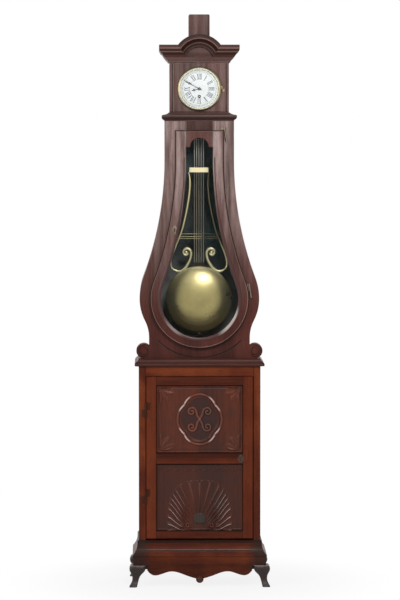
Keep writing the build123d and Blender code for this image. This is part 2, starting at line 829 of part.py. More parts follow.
bead_outer = violin_board(
    trunk_front_y, rebate - glass_thickness, glass_inset,
    window_top_z + rebate - glass_fit, arch=window_arch_radius + rebate - glass_fit,
)
bead_inner = violin_board(
    trunk_front_y, rebate - glass_thickness, window_inset, window_top_z,
    arch=window_arch_radius,
)
with BuildPart() as glass_bead:
    add(bead_outer)
    add(bead_inner, mode=Mode.SUBTRACT)
keep(glass_bead, "glass_bead")

# the latch: a key whose shank carries a cam that turns behind the face frame
cam_length = 22.0
cam_thickness = 4.0
cam_y = side_front_y + 1.5
trunk_plate = escutcheon_plate_at(latch_x, latch_z, door_front_y, *trunk_plate_half)
with BuildPart() as trunk_escutcheon:
    add(trunk_plate)
keep(trunk_escutcheon, "trunk_escutcheon")

trunk_blank = key_blank(latch_x, latch_z, door_front_y, cam_y + cam_thickness)
with BuildPart() as trunk_key:
    add(trunk_blank)
    slab(
        latch_x - shank_radius, latch_x + shank_radius, cam_y, cam_y + cam_thickness,
        latch_z - cam_length, latch_z,
    )
keep(trunk_key, "trunk_key")

# --- hood base: a moulded frame that carries the hood on the trunk -----------------------------------
base_ledge = 10.0
base_ovolo = 8.0
base_fillet = 2.0
base_cavetto = 6.0
base_crown = 8.0
base_reach = (8.0, 4.0)  # how far the ovolo and the cavetto step out
base_return = (4.0, 24.0)  # and how far the two steps above come back in
base_weathering = hood_base_height - base_ovolo - base_cavetto - base_crown - 3 * base_fillet
base_steps = (
    (base_reach[0], base_ovolo, 1.8),
    (0, base_fillet, 0),
    (base_reach[1], base_cavetto, -1),
    (0, base_crown, 0),
    (-base_return[0], base_fillet, 0),
    (-base_return[1], base_weathering, 1.5),
    (0, base_fillet, 0),
)
base_core = moulded_block(trunk_half, trunk_front_y, hood_base_z, base_steps)
hood_back_of_front = hood_front_y + face_board
hood_inner = hood_half - hood_side_board
with BuildPart() as hood_base:
    add(base_core)
    slab(
        base_ledge - hood_inner, hood_inner - base_ledge,
        hood_back_of_front + base_ledge, inner_back_y - base_ledge,
        hood_base_z, hood_z, mode=Mode.SUBTRACT,
    )
keep(hood_base, "hood_base")

# --- hood: front board with the dial hole, sides, back, cornice, arch, crest ------------------------------
cornice_height = 71.0
arch_drop = 68.0  # cornice top down to the middle of the arch
arch_band = 52.0
frieze_step = 7.0
frieze_height = 4.0
frieze_bead = 3.0
bead_height = 2.0
ovolo_height = 30.0
ovolo_swell = 1.5
mitre_rise = 20.0  # where the arch meets the straight mouldings, above the hood
fascia_height = 15.0
fascia_reach = 12.0  # the fascia in front of the ovolo
cyma_height = cornice_height - frieze_height - bead_height - ovolo_height - fascia_height
cornice_z = cornice_top_z - cornice_height
arch_z = cornice_top_z - arch_drop
mitre_z = cornice_z + mitre_rise
mitre_low_x = sqrt((arch_radius - arch_band) ** 2 - (mitre_z - arch_z) ** 2)
mitre_high_x = sqrt(arch_radius**2 - arch_drop**2)
dial_hole = dial_radius + 3.5
top_board = 14.0
pediment = 12.0
arch_play = 2.0  # pediment board inside the arch
tympanum_setback = 3.0

with BuildPart() as hood_front:
    slab(-hood_half, hood_half, hood_front_y, hood_back_of_front, hood_z, cornice_z)
    with BuildSketch(front_plane(hood_back_of_front)):
        with Locations((0, dial_z)):
            Circle(dial_hole)
    extrude(amount=face_board, mode=Mode.SUBTRACT)
keep(hood_front, "hood_front")

with BuildPart() as hood_sides:
    slab(hood_inner, hood_half, hood_back_of_front, inner_back_y, hood_z, cornice_z)
    mirror(about=Plane.YZ)
keep(hood_sides, "hood_sides")

with BuildPart() as hood_back:
    slab(-hood_half, hood_half, inner_back_y, back_y, hood_z, cornice_z)
keep(hood_back, "hood_back")

ovolo_reach = cornice_reach - frieze_step - frieze_bead - fascia_reach
cornice_steps = (
    (0, frieze_height, 0),
    (frieze_bead, bead_height, 0),
    (ovolo_reach, ovolo_height, -ovolo_swell),
    (frieze_bead, 0, 0),
    (fascia_reach - frieze_bead, cyma_height, -2),
    (0, fascia_height, 0),
)
cornice_core = moulded_block(
    hood_half + frieze_step, hood_front_y - frieze_step, cornice_z, cornice_steps
)
arch_bead = 4.0  # profile of the arch, from its inner edge out and from the frieze forwards
arch_fillet = 7.0
arch_swell = 5.0
arch_hollow = (26.0, 31.0)
arch_fascia = (29.0, 12.0)


def between_mitres():
    """The field that the arch takes out of the straight mouldings."""
    top = arch_z + arch_radius + arch_bead
    Polygon(
        (-mitre_low_x, mitre_z), (mitre_low_x, mitre_z), (mitre_high_x, cornice_top_z),
        (mitre_high_x, top), (-mitre_high_x, top), (-mitre_high_x, cornice_top_z), align=None,
    )


with BuildPart() as arch_ring:
    with BuildSketch(Plane.YZ):
        with BuildLine():
            front = hood_front_y - frieze_step
            inner_z = arch_z + arch_radius - arch_band
            outer_z = arch_z + arch_radius
            outer_front = hood_front_y - cornice_reach
            hollow = (front - arch_hollow[0], inner_z + arch_hollow[1])
            step = (front - arch_fascia[0], hollow[1])
            fascia = (outer_front, outer_z - arch_fascia[1])
            Polyline(
                (hood_back_of_front, inner_z),
                (front - arch_bead, inner_z),
                (front - arch_bead, inner_z + arch_fillet),
            )
            SagittaArc((front - arch_bead, inner_z + arch_fillet), hollow, -arch_swell)
            Line(hollow, step)
            SagittaArc(step, fascia, 2)
            Polyline(
                fascia, (outer_front, outer_z), (hood_back_of_front, outer_z),
                (hood_back_of_front, inner_z),
            )
        make_face()
    revolve(axis=Axis((0, 0, arch_z), (0, 1, 0)), revolution_arc=360)
    with BuildSketch(front_plane(hood_back_of_front)):
        between_mitres()
    extrude(amount=cabinet_depth, mode=Mode.INTERSECT)
with BuildPart() as cornice:
    add(cornice_core)
    with BuildSketch(front_plane(hood_back_of_front)):
        between_mitres()
    extrude(amount=cabinet_depth, mode=Mode.SUBTRACT)
    add(arch_ring.part)
    slab(
        -hood_inner, hood_inner, hood_back_of_front, back_y - pediment,
        cornice_z, cornice_top_z, mode=Mode.SUBTRACT,
    )
keep(cornice, "cornice")

with BuildPart() as pediment_board:
    with BuildSketch(front_plane(hood_back_of_front + pediment)):
        with Locations((0, arch_z)):
            Circle(arch_radius - arch_play)
        with Locations((0, cornice_top_z)):
            Rectangle(
                cabinet_width, cabinet_width, align=(Align.CENTER, Align.MAX), mode=Mode.SUBTRACT
            )
        with Locations((0, (cornice_z + cornice_top_z) / 2)):
            Rectangle(2 * hood_inner, cornice_height)
    extrude(amount=pediment)
    with BuildSketch(front_plane(hood_back_of_front)):
        with Locations((0, arch_z)):
            Circle(arch_radius - arch_band - seat_gap)
        with Locations((0, mitre_z + seat_gap)):
            Rectangle(
                2 * arch_radius, 2 * arch_radius, align=(Align.CENTER, Align.MAX),
                mode=Mode.SUBTRACT,
            )
    extrude(amount=face_board - tympanum_setback)
keep(pediment_board, "pediment_board")

with BuildPart() as hood_top:
    slab(
        -hood_inner, hood_inner, hood_back_of_front + pediment, back_y - pediment,
        cornice_top_z - top_board, cornice_top_z,
    )
keep(hood_top, "hood_top")

crest_half = 44.0
crest_depth = 70.0
crest_z = arch_z + arch_radius + crest_rise
crest_gap = 1.0
crest_round = 6.0
crest_front_y = hood_back_of_front + pediment + crest_gap
with BuildPart() as crest_block:
    slab(
        -crest_half, crest_half, crest_front_y, crest_front_y + crest_depth,
        cornice_top_z, crest_z,
    )
    fillet(crest_block.edges().filter_by(Axis.Y).group_by(Axis.Z)[-1], crest_round)
keep(crest_block, "crest_block")

def dome(rim_y, rim_radius, axis_z, rise):
    """Arc from the axis out to the rim of a dome about a Y axis; rise is negative to the front."""
    radius = (rim_radius**2 + rise**2) / (2 * rise)
    centre_y = rim_y + rise - radius
    half = atan2(rim_radius, abs(radius - rise)) / 2
    ThreePointArc(
        (rim_y + rise, axis_z),
        (centre_y + radius * cos(half), axis_z + abs(radius) * sin(half)),
        (rim_y, axis_z + rim_radius),
    )


# --- dial and hinged bezel ------------------------------------------------------------------------------
dial_thickness = 2.0
arbor_hole = 5.0
winding_hole = 5.5
dial_foot = 3.0
winding_z = dial_z - winding_drop
bezel_lap = 2.0  # bezel over the edge of the dial
bezel_inner = dial_radius - bezel_lap
bezel_glass_radius = dial_radius + 1.0
bezel_lip = 3.0
bezel_swell = 2.2
glass_bulge = 11.0
bezel_glass = 2.0
bezel_glass_inset = 4.0  # glass behind the front of the bezel
bezel_glass_y = hood_front_y - bezel_depth + bezel_glass_inset
bezel_axis_gap = 2.5
bezel_axis_x = bezel_radius + bezel_axis_gap
bezel_axis_y = hood_front_y - 3.0
bezel_pin = 1.0
bezel_knuckle = 2.3
bezel_hinge_length = 24.0

with BuildPart() as dial:
    with BuildSketch(front_plane(hood_front_y + dial_thickness)):
        with Locations((0, dial_z)):
            Circle(dial_radius)
            Circle(arbor_hole, mode=Mode.SUBTRACT)
        with Locations((0, winding_z)):
            Circle(winding_hole, mode=Mode.SUBTRACT)
    extrude(amount=dial_thickness)
    with BuildSketch(front_plane(plate_front_y)):
        with Locations((0, dial_z)):
            with PolarLocations(plate_width / 2 - 6, 4, start_angle=45):
                Circle(dial_foot)
    extrude(amount=plate_front_y - hood_front_y - dial_thickness)
keep(dial, "dial")

with BuildPart() as bezel:
    with BuildSketch(Plane.YZ):
        with BuildLine():
            back = hood_front_y
            front = hood_front_y - bezel_depth
            Polyline(
                (back, dial_z + bezel_radius),
                (back, dial_z + bezel_inner),
                (bezel_glass_y, dial_z + bezel_inner),
                (bezel_glass_y, dial_z + bezel_glass_radius),
                (front, dial_z + bezel_glass_radius),
                (front, dial_z + bezel_glass_radius + bezel_lip),
            )
            SagittaArc(
                (front, dial_z + bezel_glass_radius + bezel_lip),
                (back - bezel_lip, dial_z + bezel_radius), bezel_swell,
            )
            Line((back - bezel_lip, dial_z + bezel_radius), (back, dial_z + bezel_radius))
        make_face()
    revolve(axis=Axis((0, 0, dial_z), (0, 1, 0)), revolution_arc=360)
    with Locations((bezel_axis_x, bezel_axis_y, dial_z + bezel_hinge_length / 4 + knuckle_gap / 2)):
        Cylinder(bezel_knuckle, bezel_hinge_length / 2 - knuckle_gap)
        with Locations((-bezel_knuckle, 0.5)):
            Box(2 * bezel_knuckle, 1.6, bezel_hinge_length / 2 - knuckle_gap)
    with Locations((bezel_axis_x, bezel_axis_y, dial_z)):
        Cylinder(bezel_pin + running_gap, bezel_hinge_length + 2, mode=Mode.SUBTRACT)
    with Locations((bezel_axis_x, bezel_axis_y, dial_z - bezel_hinge_length / 4)):
        Cylinder(
            bezel_knuckle + seat_gap, bezel_hinge_length / 2 + 0.3, mode=Mode.SUBTRACT
        )
keep(bezel, "bezel")

with BuildPart() as bezel_hinge_post:
    with Locations((bezel_axis_x, bezel_axis_y, dial_z - bezel_hinge_length / 4 - 0.1)):
        Cylinder(bezel_knuckle, bezel_hinge_length / 2 - knuckle_gap)
        with Locations((5, 2.25)):
            Box(10, 1.5, bezel_hinge_length / 2 - knuckle_gap)
    with Locations((bezel_axis_x, bezel_axis_y, dial_z - 1)):
        Cylinder(bezel_pin, bezel_hinge_length - 3)
keep(bezel_hinge_post, "bezel_hinge_post")

with BuildPart() as dial_glass:
    with BuildSketch(Plane.YZ):
        with BuildLine():
            edge = dial_z + bezel_glass_radius - seat_gap
            rim = bezel_inner - 2
            glass_front_rim = bezel_glass_y - bezel_glass
            dome(glass_front_rim, rim, dial_z, -glass_bulge)
            Line((glass_front_rim, dial_z + rim), (glass_front_rim, edge))
            Line((glass_front_rim, edge), (bezel_glass_y, edge))
            Line((bezel_glass_y, edge), (bezel_glass_y, dial_z + rim))
            dome(bezel_glass_y, rim, dial_z, -glass_bulge)
            Line((bezel_glass_y - glass_bulge, dial_z), (glass_front_rim - glass_bulge, dial_z))
        make_face()
    revolve(axis=Axis((0, 0, dial_z), (0, 1, 0)), revolution_arc=360)
keep(dial_glass, "dial_glass")

# --- hands, set at ten to nine -------------------------------------------------------------------------------
hour_angle = 256.0  # clockwise from twelve
minute_angle = 299.0
hand_thickness = 0.8
hour_boss = 6.0
hour_stem = 2.4
minute_boss = 5.0
minute_stem = 1.8
minute_tail = 13.0
eye_share = 0.68  # where the ring and the tip of a hand start, as shares of its length
tip_share = 0.78
pipe_radius = 3.6
hour_hand_y = hood_front_y - 2.0
minute_hand_y = hour_hand_y - 2.4
hand_nut_y = minute_hand_y - hand_thickness


def hand_plane(y, angle):
    """Upright plane through the dial centre whose Y axis points along the hand."""
    turn = radians(angle)
    return Plane(origin=(0, y, dial_z), x_dir=(cos(turn), 0, -sin(turn)), z_dir=(0, -1, 0))


with BuildPart() as hour_hand:
    with BuildSketch(hand_plane(hour_hand_y, hour_angle)):
        Circle(hour_boss)
        with Locations((0, hour_hand_length * eye_share / 2)):
            Rectangle(hour_stem, hour_hand_length * eye_share)
        with Locations((0, hour_hand_length * eye_share)):
            Circle(2 * hour_stem)
            Circle(hour_stem, mode=Mode.SUBTRACT)
        Polygon(
            (-hour_stem, hour_hand_length * tip_share), (hour_stem, hour_hand_length * tip_share),
            (0, hour_hand_length), align=None,
        )
        Circle(pipe_radius + running_gap, mode=Mode.SUBTRACT)
    extrude(amount=hand_thickness)
keep(hour_hand, "hour_hand")

with BuildPart() as minute_hand:
    with BuildSketch(hand_plane(minute_hand_y, minute_angle)):
        Circle(minute_boss)
        with Locations((0, minute_hand_length / 2)):
            Rectangle(minute_stem, minute_hand_length)
        with Locations((0, minute_hand_length * eye_share)):
            Circle(2.2 * minute_stem)
            Circle(1.2 * minute_stem, mode=Mode.SUBTRACT)
        with Locations((0, -minute_tail / 2)):
            Rectangle(minute_stem, minute_tail)
        Circle(arbor_radius + running_gap, mode=Mode.SUBTRACT)
    extrude(amount=hand_thickness)
keep(minute_hand, "minute_hand")

# --- movement ----------------------------------------------------------------------------------------------
plate_z0 = hood_z + seat_board
plate_inner_y = plate_front_y + plate_thickness
pillar_radius = 4.0
barrel_radius = 22.0
great_wheel_radius = 26.8
centre_wheel_radius = 20.0
third_wheel_radius = 15.0
pinion_radius = 3.0
escape_radius = 14.0
train_radius = 1.5
wheel_thickness = 3.0
mesh_gap = 0.3
cannon_radius = 4.85
hour_wheel_radius = 15.85
minute_wheel_radius = 14.85
motion_pinion_radius = 3.85
motion_pitch = 20.0
stud_radius = 1.5
stud_past = 1.2  # how far the stud stands past the hour wheel
winding_radius = 3.0
winding_shoulder = 5.0
shoulder_width = 2.0
square_half = 2.0
square_front = 1.0  # winding square past the hood's front face
square_back = 6.0
pillar_margin_x = 10.0
pillar_margin_z = 12.0
board_past = 4.0  # seatboard past the back plate
barrel_in = 7.0
barrel_back_gap = 12.0
centre_pinion_radius = 4.9
centre_wheel_step = 5.0  # behind the great wheel's front face
hand_nut_radius = 3.4
hand_nut_height = 2.0
hand_play = 0.6
bore_past = 5.0
stud_bore_past = 1.0
pivot_in = 1.0  # train arbors start behind the front plate's face
pivot_past = 2.0
third_wheel_in = 24.0
escape_wheel_in = 33.0
escape_wheel_thickness = 2.0
escape_pinion_radius = 2.9
great_teeth = 60
centre_teeth = 64
third_teeth = 60
escape_teeth = 30
hour_teeth = 32
minute_teeth = 30
tooth_gap = 1.3
hour_wheel_y = plate_front_y - 8.5
cannon_y = plate_front_y - 4.5
third_at = (-8.0, dial_z + 21.9)
escape_at = (0.0, third_at[1] + 16.4)


def arbor_on(x, z, y_from, y_to, radius, mode=Mode.ADD):
    """A round arbor, pipe or disc between two depths, its axis along Y."""
    middle = (y_from + y_to) / 2
    with Locations(Location((x, middle, z), (90, 0, 0))):
        Cylinder(radius, abs(y_to - y_from), mode=mode)


def toothed(x, z, y_from, thickness, radius, teeth):
    """A wheel cut with small round tooth gaps."""
    arbor_on(x, z, y_from, y_from + thickness, radius)
    with Locations(Location((x, y_from + thickness / 2, z), (90, 0, 0))):
        with PolarLocations(radius, teeth):
            Cylinder(radius * tooth_gap / teeth, thickness, mode=Mode.SUBTRACT)


pivots = (
    (0, dial_z, arbor_radius),
    (0, winding_z, winding_radius),
    (third_at[0], third_at[1], train_radius),
    (escape_at[0], escape_at[1], train_radius),
    (0, suspension_z, train_radius),
)
with BuildPart() as movement_plates:
    for y in (plate_front_y, plate_back_y):
        slab(
            -plate_width / 2, plate_width / 2, y, y + plate_thickness,
            plate_z0, plate_z0 + plate_height,
        )
    for x in (-1, 1):
        for z in (plate_z0 + pillar_margin_z, plate_z0 + plate_height - pillar_margin_z):
            pillar_x = x * (plate_width / 2 - pillar_margin_x)
            arbor_on(pillar_x, z, plate_inner_y, plate_back_y, pillar_radius)
    for x, z, radius in pivots:
        arbor_on(
            x, z, plate_front_y, plate_back_y + plate_thickness, radius + running_gap,
            mode=Mode.SUBTRACT,
        )
    arbor_on(motion_pitch, dial_z, hour_wheel_y - stud_past, plate_front_y, stud_radius)
keep(movement_plates, "movement_plates")

with BuildPart() as seatboard:
    slab(
        -hood_inner, hood_inner, hood_back_of_front, plate_back_y + plate_thickness + board_past,
        hood_z, hood_z + seat_board,
    )
keep(seatboard, "seatboard")

barrel_y0 = plate_inner_y + barrel_in
barrel_y1 = plate_back_y - barrel_back_gap
with BuildPart() as barrel:
    arbor_on(0, winding_z, barrel_y0, barrel_y1, barrel_radius)
    toothed(0, winding_z, barrel_y1, wheel_thickness, great_wheel_radius, great_teeth)
    arbor_on(
        0, winding_z, barrel_y0, barrel_y1 + wheel_thickness, winding_radius + running_gap,
        mode=Mode.SUBTRACT,
    )
keep(barrel, "barrel")

with BuildPart() as winding_arbor:
    arbor_on(
        0, winding_z, hood_front_y + square_back, plate_back_y + plate_thickness, winding_radius
    )
    slab(
        -square_half, square_half, hood_front_y - square_front, hood_front_y + square_back,
        winding_z - square_half, winding_z + square_half,
    )
    arbor_on(0, winding_z, plate_inner_y, plate_inner_y + shoulder_width, winding_shoulder)
keep(winding_arbor, "winding_arbor")

with BuildPart() as centre_arbor:
    arbor_on(
        0, dial_z, hand_nut_y - hand_nut_height, plate_back_y + plate_thickness, arbor_radius
    )
    arbor_on(0, dial_z, hand_nut_y - hand_nut_height, hand_nut_y, hand_nut_radius)
    arbor_on(0, dial_z, barrel_y1, barrel_y1 + wheel_thickness, centre_pinion_radius)
    arbor_on(0, dial_z, cannon_y, cannon_y + wheel_thickness, cannon_radius)
    toothed(
        0, dial_z, barrel_y1 + centre_wheel_step, wheel_thickness, centre_wheel_radius, centre_teeth
    )
keep(centre_arbor, "centre_arbor")

with BuildPart() as hour_wheel:
    toothed(0, dial_z, hour_wheel_y, wheel_thickness, hour_wheel_radius, hour_teeth)
    arbor_on(0, dial_z, hour_hand_y - hand_thickness - hand_play, hour_wheel_y, pipe_radius)
    arbor_on(
        0, dial_z, hour_hand_y - bore_past, hour_wheel_y + bore_past, arbor_radius + running_gap,
        mode=Mode.SUBTRACT,
    )
keep(hour_wheel, "hour_wheel")

with BuildPart() as minute_wheel:
    toothed(motion_pitch, dial_z, cannon_y, wheel_thickness, minute_wheel_radius, minute_teeth)
    arbor_on(
        motion_pitch, dial_z, hour_wheel_y, cannon_y, motion_pinion_radius
    )
    arbor_on(
        motion_pitch, dial_z, hour_wheel_y - stud_bore_past, plate_front_y,
        stud_radius + running_gap,
        mode=Mode.SUBTRACT,
    )
keep(minute_wheel, "minute_wheel")

with BuildPart() as third_wheel:
    arbor_on(*third_at, plate_front_y + pivot_in, plate_back_y + pivot_past, train_radius)
    toothed(
        *third_at, plate_inner_y + third_wheel_in, wheel_thickness, third_wheel_radius, third_teeth
    )
    third_pinion_y = barrel_y1 + centre_wheel_step
    arbor_on(*third_at, third_pinion_y, third_pinion_y + wheel_thickness, pinion_radius)
keep(third_wheel, "third_wheel")

with BuildPart() as escape_wheel:
    arbor_on(*escape_at, plate_front_y + pivot_in, plate_back_y + pivot_past, train_radius)
    toothed(
        *escape_at, plate_inner_y + escape_wheel_in, escape_wheel_thickness, escape_radius,
        escape_teeth,
    )
    escape_pinion_y = plate_inner_y + third_wheel_in
    arbor_on(
        *escape_at, escape_pinion_y, escape_pinion_y + wheel_thickness, escape_pinion_radius
    )
keep(escape_wheel, "escape_wheel")

# --- anchor with its crutch, and the suspension cock ------------------------------------------------------------
crutch_gap = 3.0  # behind the back plate
crutch_drop = 80.0  # suspension point down to the fork
crutch_thickness = 2.0
crutch_half = 3.0
crutch_head = 3.5
fork_gap = 0.4
fork_wall = 3.0
fork_half_height = 6.0
anchor_in = 35.0
anchor_thickness = 2.0
anchor_hub = 4.5
anchor_arbor_past = 3.0
arm_half = 3.0
arm_reach = 20.0
pallet_drop = 16.0
pallet_inner = 15.0
pallet_tip = ((13.0, 26.0), (12.0, 25.0))  # out and down from the suspension point
upper_rod = 3.0
crutch_y = plate_back_y + plate_thickness + crutch_gap
fork_z = suspension_z - crutch_drop
with BuildPart() as anchor:
    arbor_on(
        0, suspension_z, plate_front_y + pivot_in, crutch_y + anchor_arbor_past, train_radius
    )
    with BuildSketch(front_plane(plate_inner_y + anchor_in)):
        with Locations((0, suspension_z)):
            Circle(anchor_hub)
        with BuildLine():
            Polyline(
                (0, suspension_z + arm_half),
                (arm_reach, suspension_z - pallet_drop),
                *[(out, suspension_z - down) for out, down in pallet_tip],
                (pallet_inner, suspension_z - pallet_drop),
                (0, suspension_z - arm_half),
                (0, suspension_z + arm_half),
            )
        make_face()
        mirror(about=Plane.YZ)
    extrude(amount=anchor_thickness)
    slab(
        -crutch_half, crutch_half, crutch_y, crutch_y + crutch_thickness,
        fork_z, suspension_z + crutch_head,
    )
    fork_inner = upper_rod + fork_gap
    fork_outer = fork_inner + fork_wall
    slab(
        -fork_outer, fork_outer, crutch_y, crutch_y + crutch_thickness,
        fork_z - fork_half_height, fork_z + fork_half_height,
    )
    for side in (-1, 1):
        slab(
            side * fork_inner, side * fork_outer, crutch_y, pendulum_y + upper_rod,
            fork_z - fork_half_height, fork_z + fork_half_height,
        )
keep(anchor, "anchor")

cock_half = 14.0
cock_rise = 6.0
cock_lip = 1.0
cock_height = 6.0
cock_past = 6.0  # past the pendulum's plane
with BuildPart() as suspension_cock:
    slab(
        -cock_half, cock_half, plate_back_y + plate_thickness, pendulum_y + cock_past,
        suspension_z + cock_rise - cock_lip, suspension_z + cock_rise + cock_height,
    )
keep(suspension_cock, "suspension_cock")

# --- pendulum ------------------------------------------------------------------------------------------------------
spring_width = 6.0
spring_thickness = 0.4
spring_length = 16.0
bridge_drop = 170.0  # suspension point down to the top bridge of the five rods
bridge_height = 12.0
bridge_depth = 9.0
bob_rim = 4.0
bob_back_bulge = 14.0
collar_height = 14.0
bridge_end = 6.0  # bridge past the outer rods' middles
rod_foot = 2.0  # rods start above the bob
stem_into_spring = 4.0
spring_into_stem = 3.0
rod_span = (rod_count - 1) * rod_pitch
rod_top_z = suspension_z - bridge_drop
collar_z = bob_z + bob_radius

with BuildPart() as pendulum_rods:
    with BuildSketch(Plane.XY.offset(collar_z + rod_foot)):
        with Locations((0, pendulum_y)):
            with GridLocations(rod_pitch, 0, rod_count, 1):
                Circle(rod_radius)
    extrude(amount=rod_top_z - collar_z - rod_foot)
    slab(
        -rod_span / 2 - bridge_end, rod_span / 2 + bridge_end, pendulum_y - bridge_depth / 2,
        pendulum_y + bridge_depth / 2, rod_top_z - bridge_height, rod_top_z,
    )
    slab(
        -rod_span / 2 - bridge_end, rod_span / 2 + bridge_end, pendulum_y - bridge_depth / 2,
        pendulum_y + bridge_depth / 2, collar_z + seat_gap, collar_z + collar_height,
    )
    with BuildSketch(Plane.XY.offset(rod_top_z)):
        with Locations((0, pendulum_y)):
            Circle(upper_rod)
    extrude(amount=bridge_drop - spring_length + stem_into_spring)
    slab(
        -spring_width / 2, spring_width / 2, pendulum_y - spring_thickness / 2,
        pendulum_y + spring_thickness / 2, suspension_z - spring_length + spring_into_stem,
        suspension_z + cock_rise - cock_lip - seat_gap,
    )
keep(pendulum_rods, "pendulum_rods")

crossbar_z = suspension_z - crossbar_drop
stay_size = 2.0
stays = ((270.0, 73.0), (282.0, 78.0), (290.0, 81.0))  # drop below the crossbar, half length
crossbar_half_depth = 5.0
with BuildPart() as pendulum_crossbar:
    slab(
        -crossbar_width / 2, crossbar_width / 2,
        pendulum_y - crossbar_half_depth, pendulum_y + crossbar_half_depth,
        crossbar_z - crossbar_height / 2, crossbar_z + crossbar_height / 2,
    )
    with BuildSketch(Plane.XY.offset(crossbar_z - crossbar_height)):
        with Locations((0, pendulum_y)):
            with GridLocations(rod_pitch, 0, rod_count, 1):
                Circle(rod_radius + running_gap)
    extrude(amount=2 * crossbar_height, mode=Mode.SUBTRACT)
keep(pendulum_crossbar, "pendulum_crossbar")

lyre_thickness = 3.0
lyre_width = 9.0
lyre_gap = 0.2  # between the lyre and the rods behind it
arm_inset = 3.0
lyre_bends = (
    (30.0, 68.0), (48.0, 156.0), (69.0, 257.0), (98.0, 345.0),
    (113.0, 405.0), (98.0, 432.0), (66.0, 415.0),
)  # out from the middle, down from the crossbar
scroll_radius = 22.0
scroll_out = 56.0
scroll_rise = 200.0  # above the bob's middle
scroll_turns = (
    (scroll_radius, -12.0), (8.0, scroll_radius - 2.0), (-14.0, 8.0), (-4.0, -10.0),
)  # from the scroll's middle
scroll_at = (-scroll_out, bob_z + scroll_rise)
lyre_y = pendulum_y - rod_radius - lyre_gap
with BuildPart() as lyre:
    arm_top = (-crossbar_width / 2 + arm_inset, crossbar_z - crossbar_height / 2)
    with BuildSketch(front_plane(lyre_y + lyre_thickness)):
        with BuildLine() as arm_line:
            Spline(
                arm_top,
                *[(-out, crossbar_z - down) for out, down in lyre_bends],
                *[(scroll_at[0] + across, scroll_at[1] + up) for across, up in scroll_turns],
            )
        trace(line_width=lyre_width)
        mirror(about=Plane.YZ)
    extrude(amount=lyre_thickness)
    for drop, half in stays:
        slab(
            -half, half, lyre_y - stay_size, lyre_y,
            crossbar_z - drop - stay_size / 2, crossbar_z - drop + stay_size / 2,
        )
    slab(
        -crossbar_width, crossbar_width, pendulum_y - lyre_width, pendulum_y + lyre_width,
        crossbar_z - crossbar_height / 2, crossbar_z + crossbar_height, mode=Mode.SUBTRACT,
    )
keep(lyre, "lyre")

bob_shell = 2.5
bob_cover = 1.5
with BuildPart() as bob:
    with BuildSketch(Plane.YZ):
        with BuildLine():
            rim_front = pendulum_y - bob_rim
            rim_back = pendulum_y + bob_rim
            inner_rim = bob_radius - bob_shell
            dome(rim_front, bob_radius, bob_z, -bob_bulge)
            Line((rim_front, bob_z + bob_radius), (rim_back, bob_z + bob_radius))
            Line((rim_back, bob_z + bob_radius), (rim_back, bob_z + inner_rim))
            Line((rim_back, bob_z + inner_rim), (rim_front, bob_z + inner_rim))
            dome(rim_front, inner_rim, bob_z, bob_shell - bob_bulge)
            Line(
                (rim_front - bob_bulge + bob_shell, bob_z), (rim_front - bob_bulge, bob_z)
            )
        make_face()
    revolve(axis=Axis((0, 0, bob_z), (0, 1, 0)), revolution_arc=360)
    with BuildSketch(Plane.YZ):
        with BuildLine():
            dome(rim_back, bob_radius, bob_z, bob_back_bulge)
            Line((rim_back, bob_z + bob_radius), (rim_back, bob_z + inner_rim))
            dome(rim_back, inner_rim, bob_z, bob_back_bulge - bob_cover)
            Line(
                (rim_back + bob_back_bulge - bob_cover, bob_z), (rim_back + bob_back_bulge, bob_z)
            )
        make_face()
    revolve(axis=Axis((0, 0, bob_z), (0, 1, 0)), revolution_arc=360)
keep(bob, "bob")

nut_radius = 8.0
nut_height = 10.0
nut_gap = 0.5
nut_sides = 8
stem_past_nut = 6.0
with BuildPart() as rating_nut:
    with BuildSketch(Plane.XY.offset(bob_z - bob_radius - nut_height - nut_gap)):
        with Locations((0, pendulum_y)):
            RegularPolygon(nut_radius, nut_sides)
    extrude(amount=nut_height)
    with BuildSketch(Plane.XY.offset(bob_z - bob_radius - nut_height - stem_past_nut)):
        with Locations((0, pendulum_y)):
            Circle(rod_radius)
    extrude(amount=nut_height + stem_past_nut)
keep(rating_nut, "rating_nut")
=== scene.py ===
# %% [markdown]
# # A longcase clock with a violin-shaped trunk
# The structure of the clock is a fixed frame of real parts: boards, doors, hinges, wheels and a
# pendulum. This lesson dresses that frame. Flat boards, wheels and hands keep their shape and get a
# finish; carving, scrolls, feet and the bob are modelled again, because their charm is in their
# rounded forms.
# All sizes are in metres, the front faces -Y, and every new piece rides on the part it belongs to.

import math

import bmesh
import bpy
import numpy as np
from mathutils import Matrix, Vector


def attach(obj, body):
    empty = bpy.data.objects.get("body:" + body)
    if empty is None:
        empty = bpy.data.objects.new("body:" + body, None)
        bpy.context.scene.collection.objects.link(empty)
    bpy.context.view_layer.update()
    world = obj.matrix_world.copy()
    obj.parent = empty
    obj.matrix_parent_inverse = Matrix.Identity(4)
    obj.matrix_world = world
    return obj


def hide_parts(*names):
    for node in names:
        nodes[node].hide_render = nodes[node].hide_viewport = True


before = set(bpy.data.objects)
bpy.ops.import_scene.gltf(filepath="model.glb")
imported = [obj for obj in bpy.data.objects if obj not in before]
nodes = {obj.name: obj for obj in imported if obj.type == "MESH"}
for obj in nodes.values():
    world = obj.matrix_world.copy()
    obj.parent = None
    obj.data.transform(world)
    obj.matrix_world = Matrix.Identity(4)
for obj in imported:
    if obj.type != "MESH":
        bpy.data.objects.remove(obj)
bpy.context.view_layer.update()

# %% [markdown]
# ## Camera
# The clock is seen from the front, a little left of its middle, with a long lens far away, so
# upright edges stay parallel. A sensor that is fitted vertically lets the lens follow from one
# number, the focal length measured in image heights.

# %% Camera
CAMERA_AT = (-0.2007, -12.000, 1.8636)
CAMERA_YAW = math.radians(0.978)
CAMERA_PITCH = math.radians(-3.175)
CAMERA_ROLL = math.radians(0.018)
SENSOR_HEIGHT = 36.0
FOCAL_IN_HEIGHTS = 2843.2 / 600

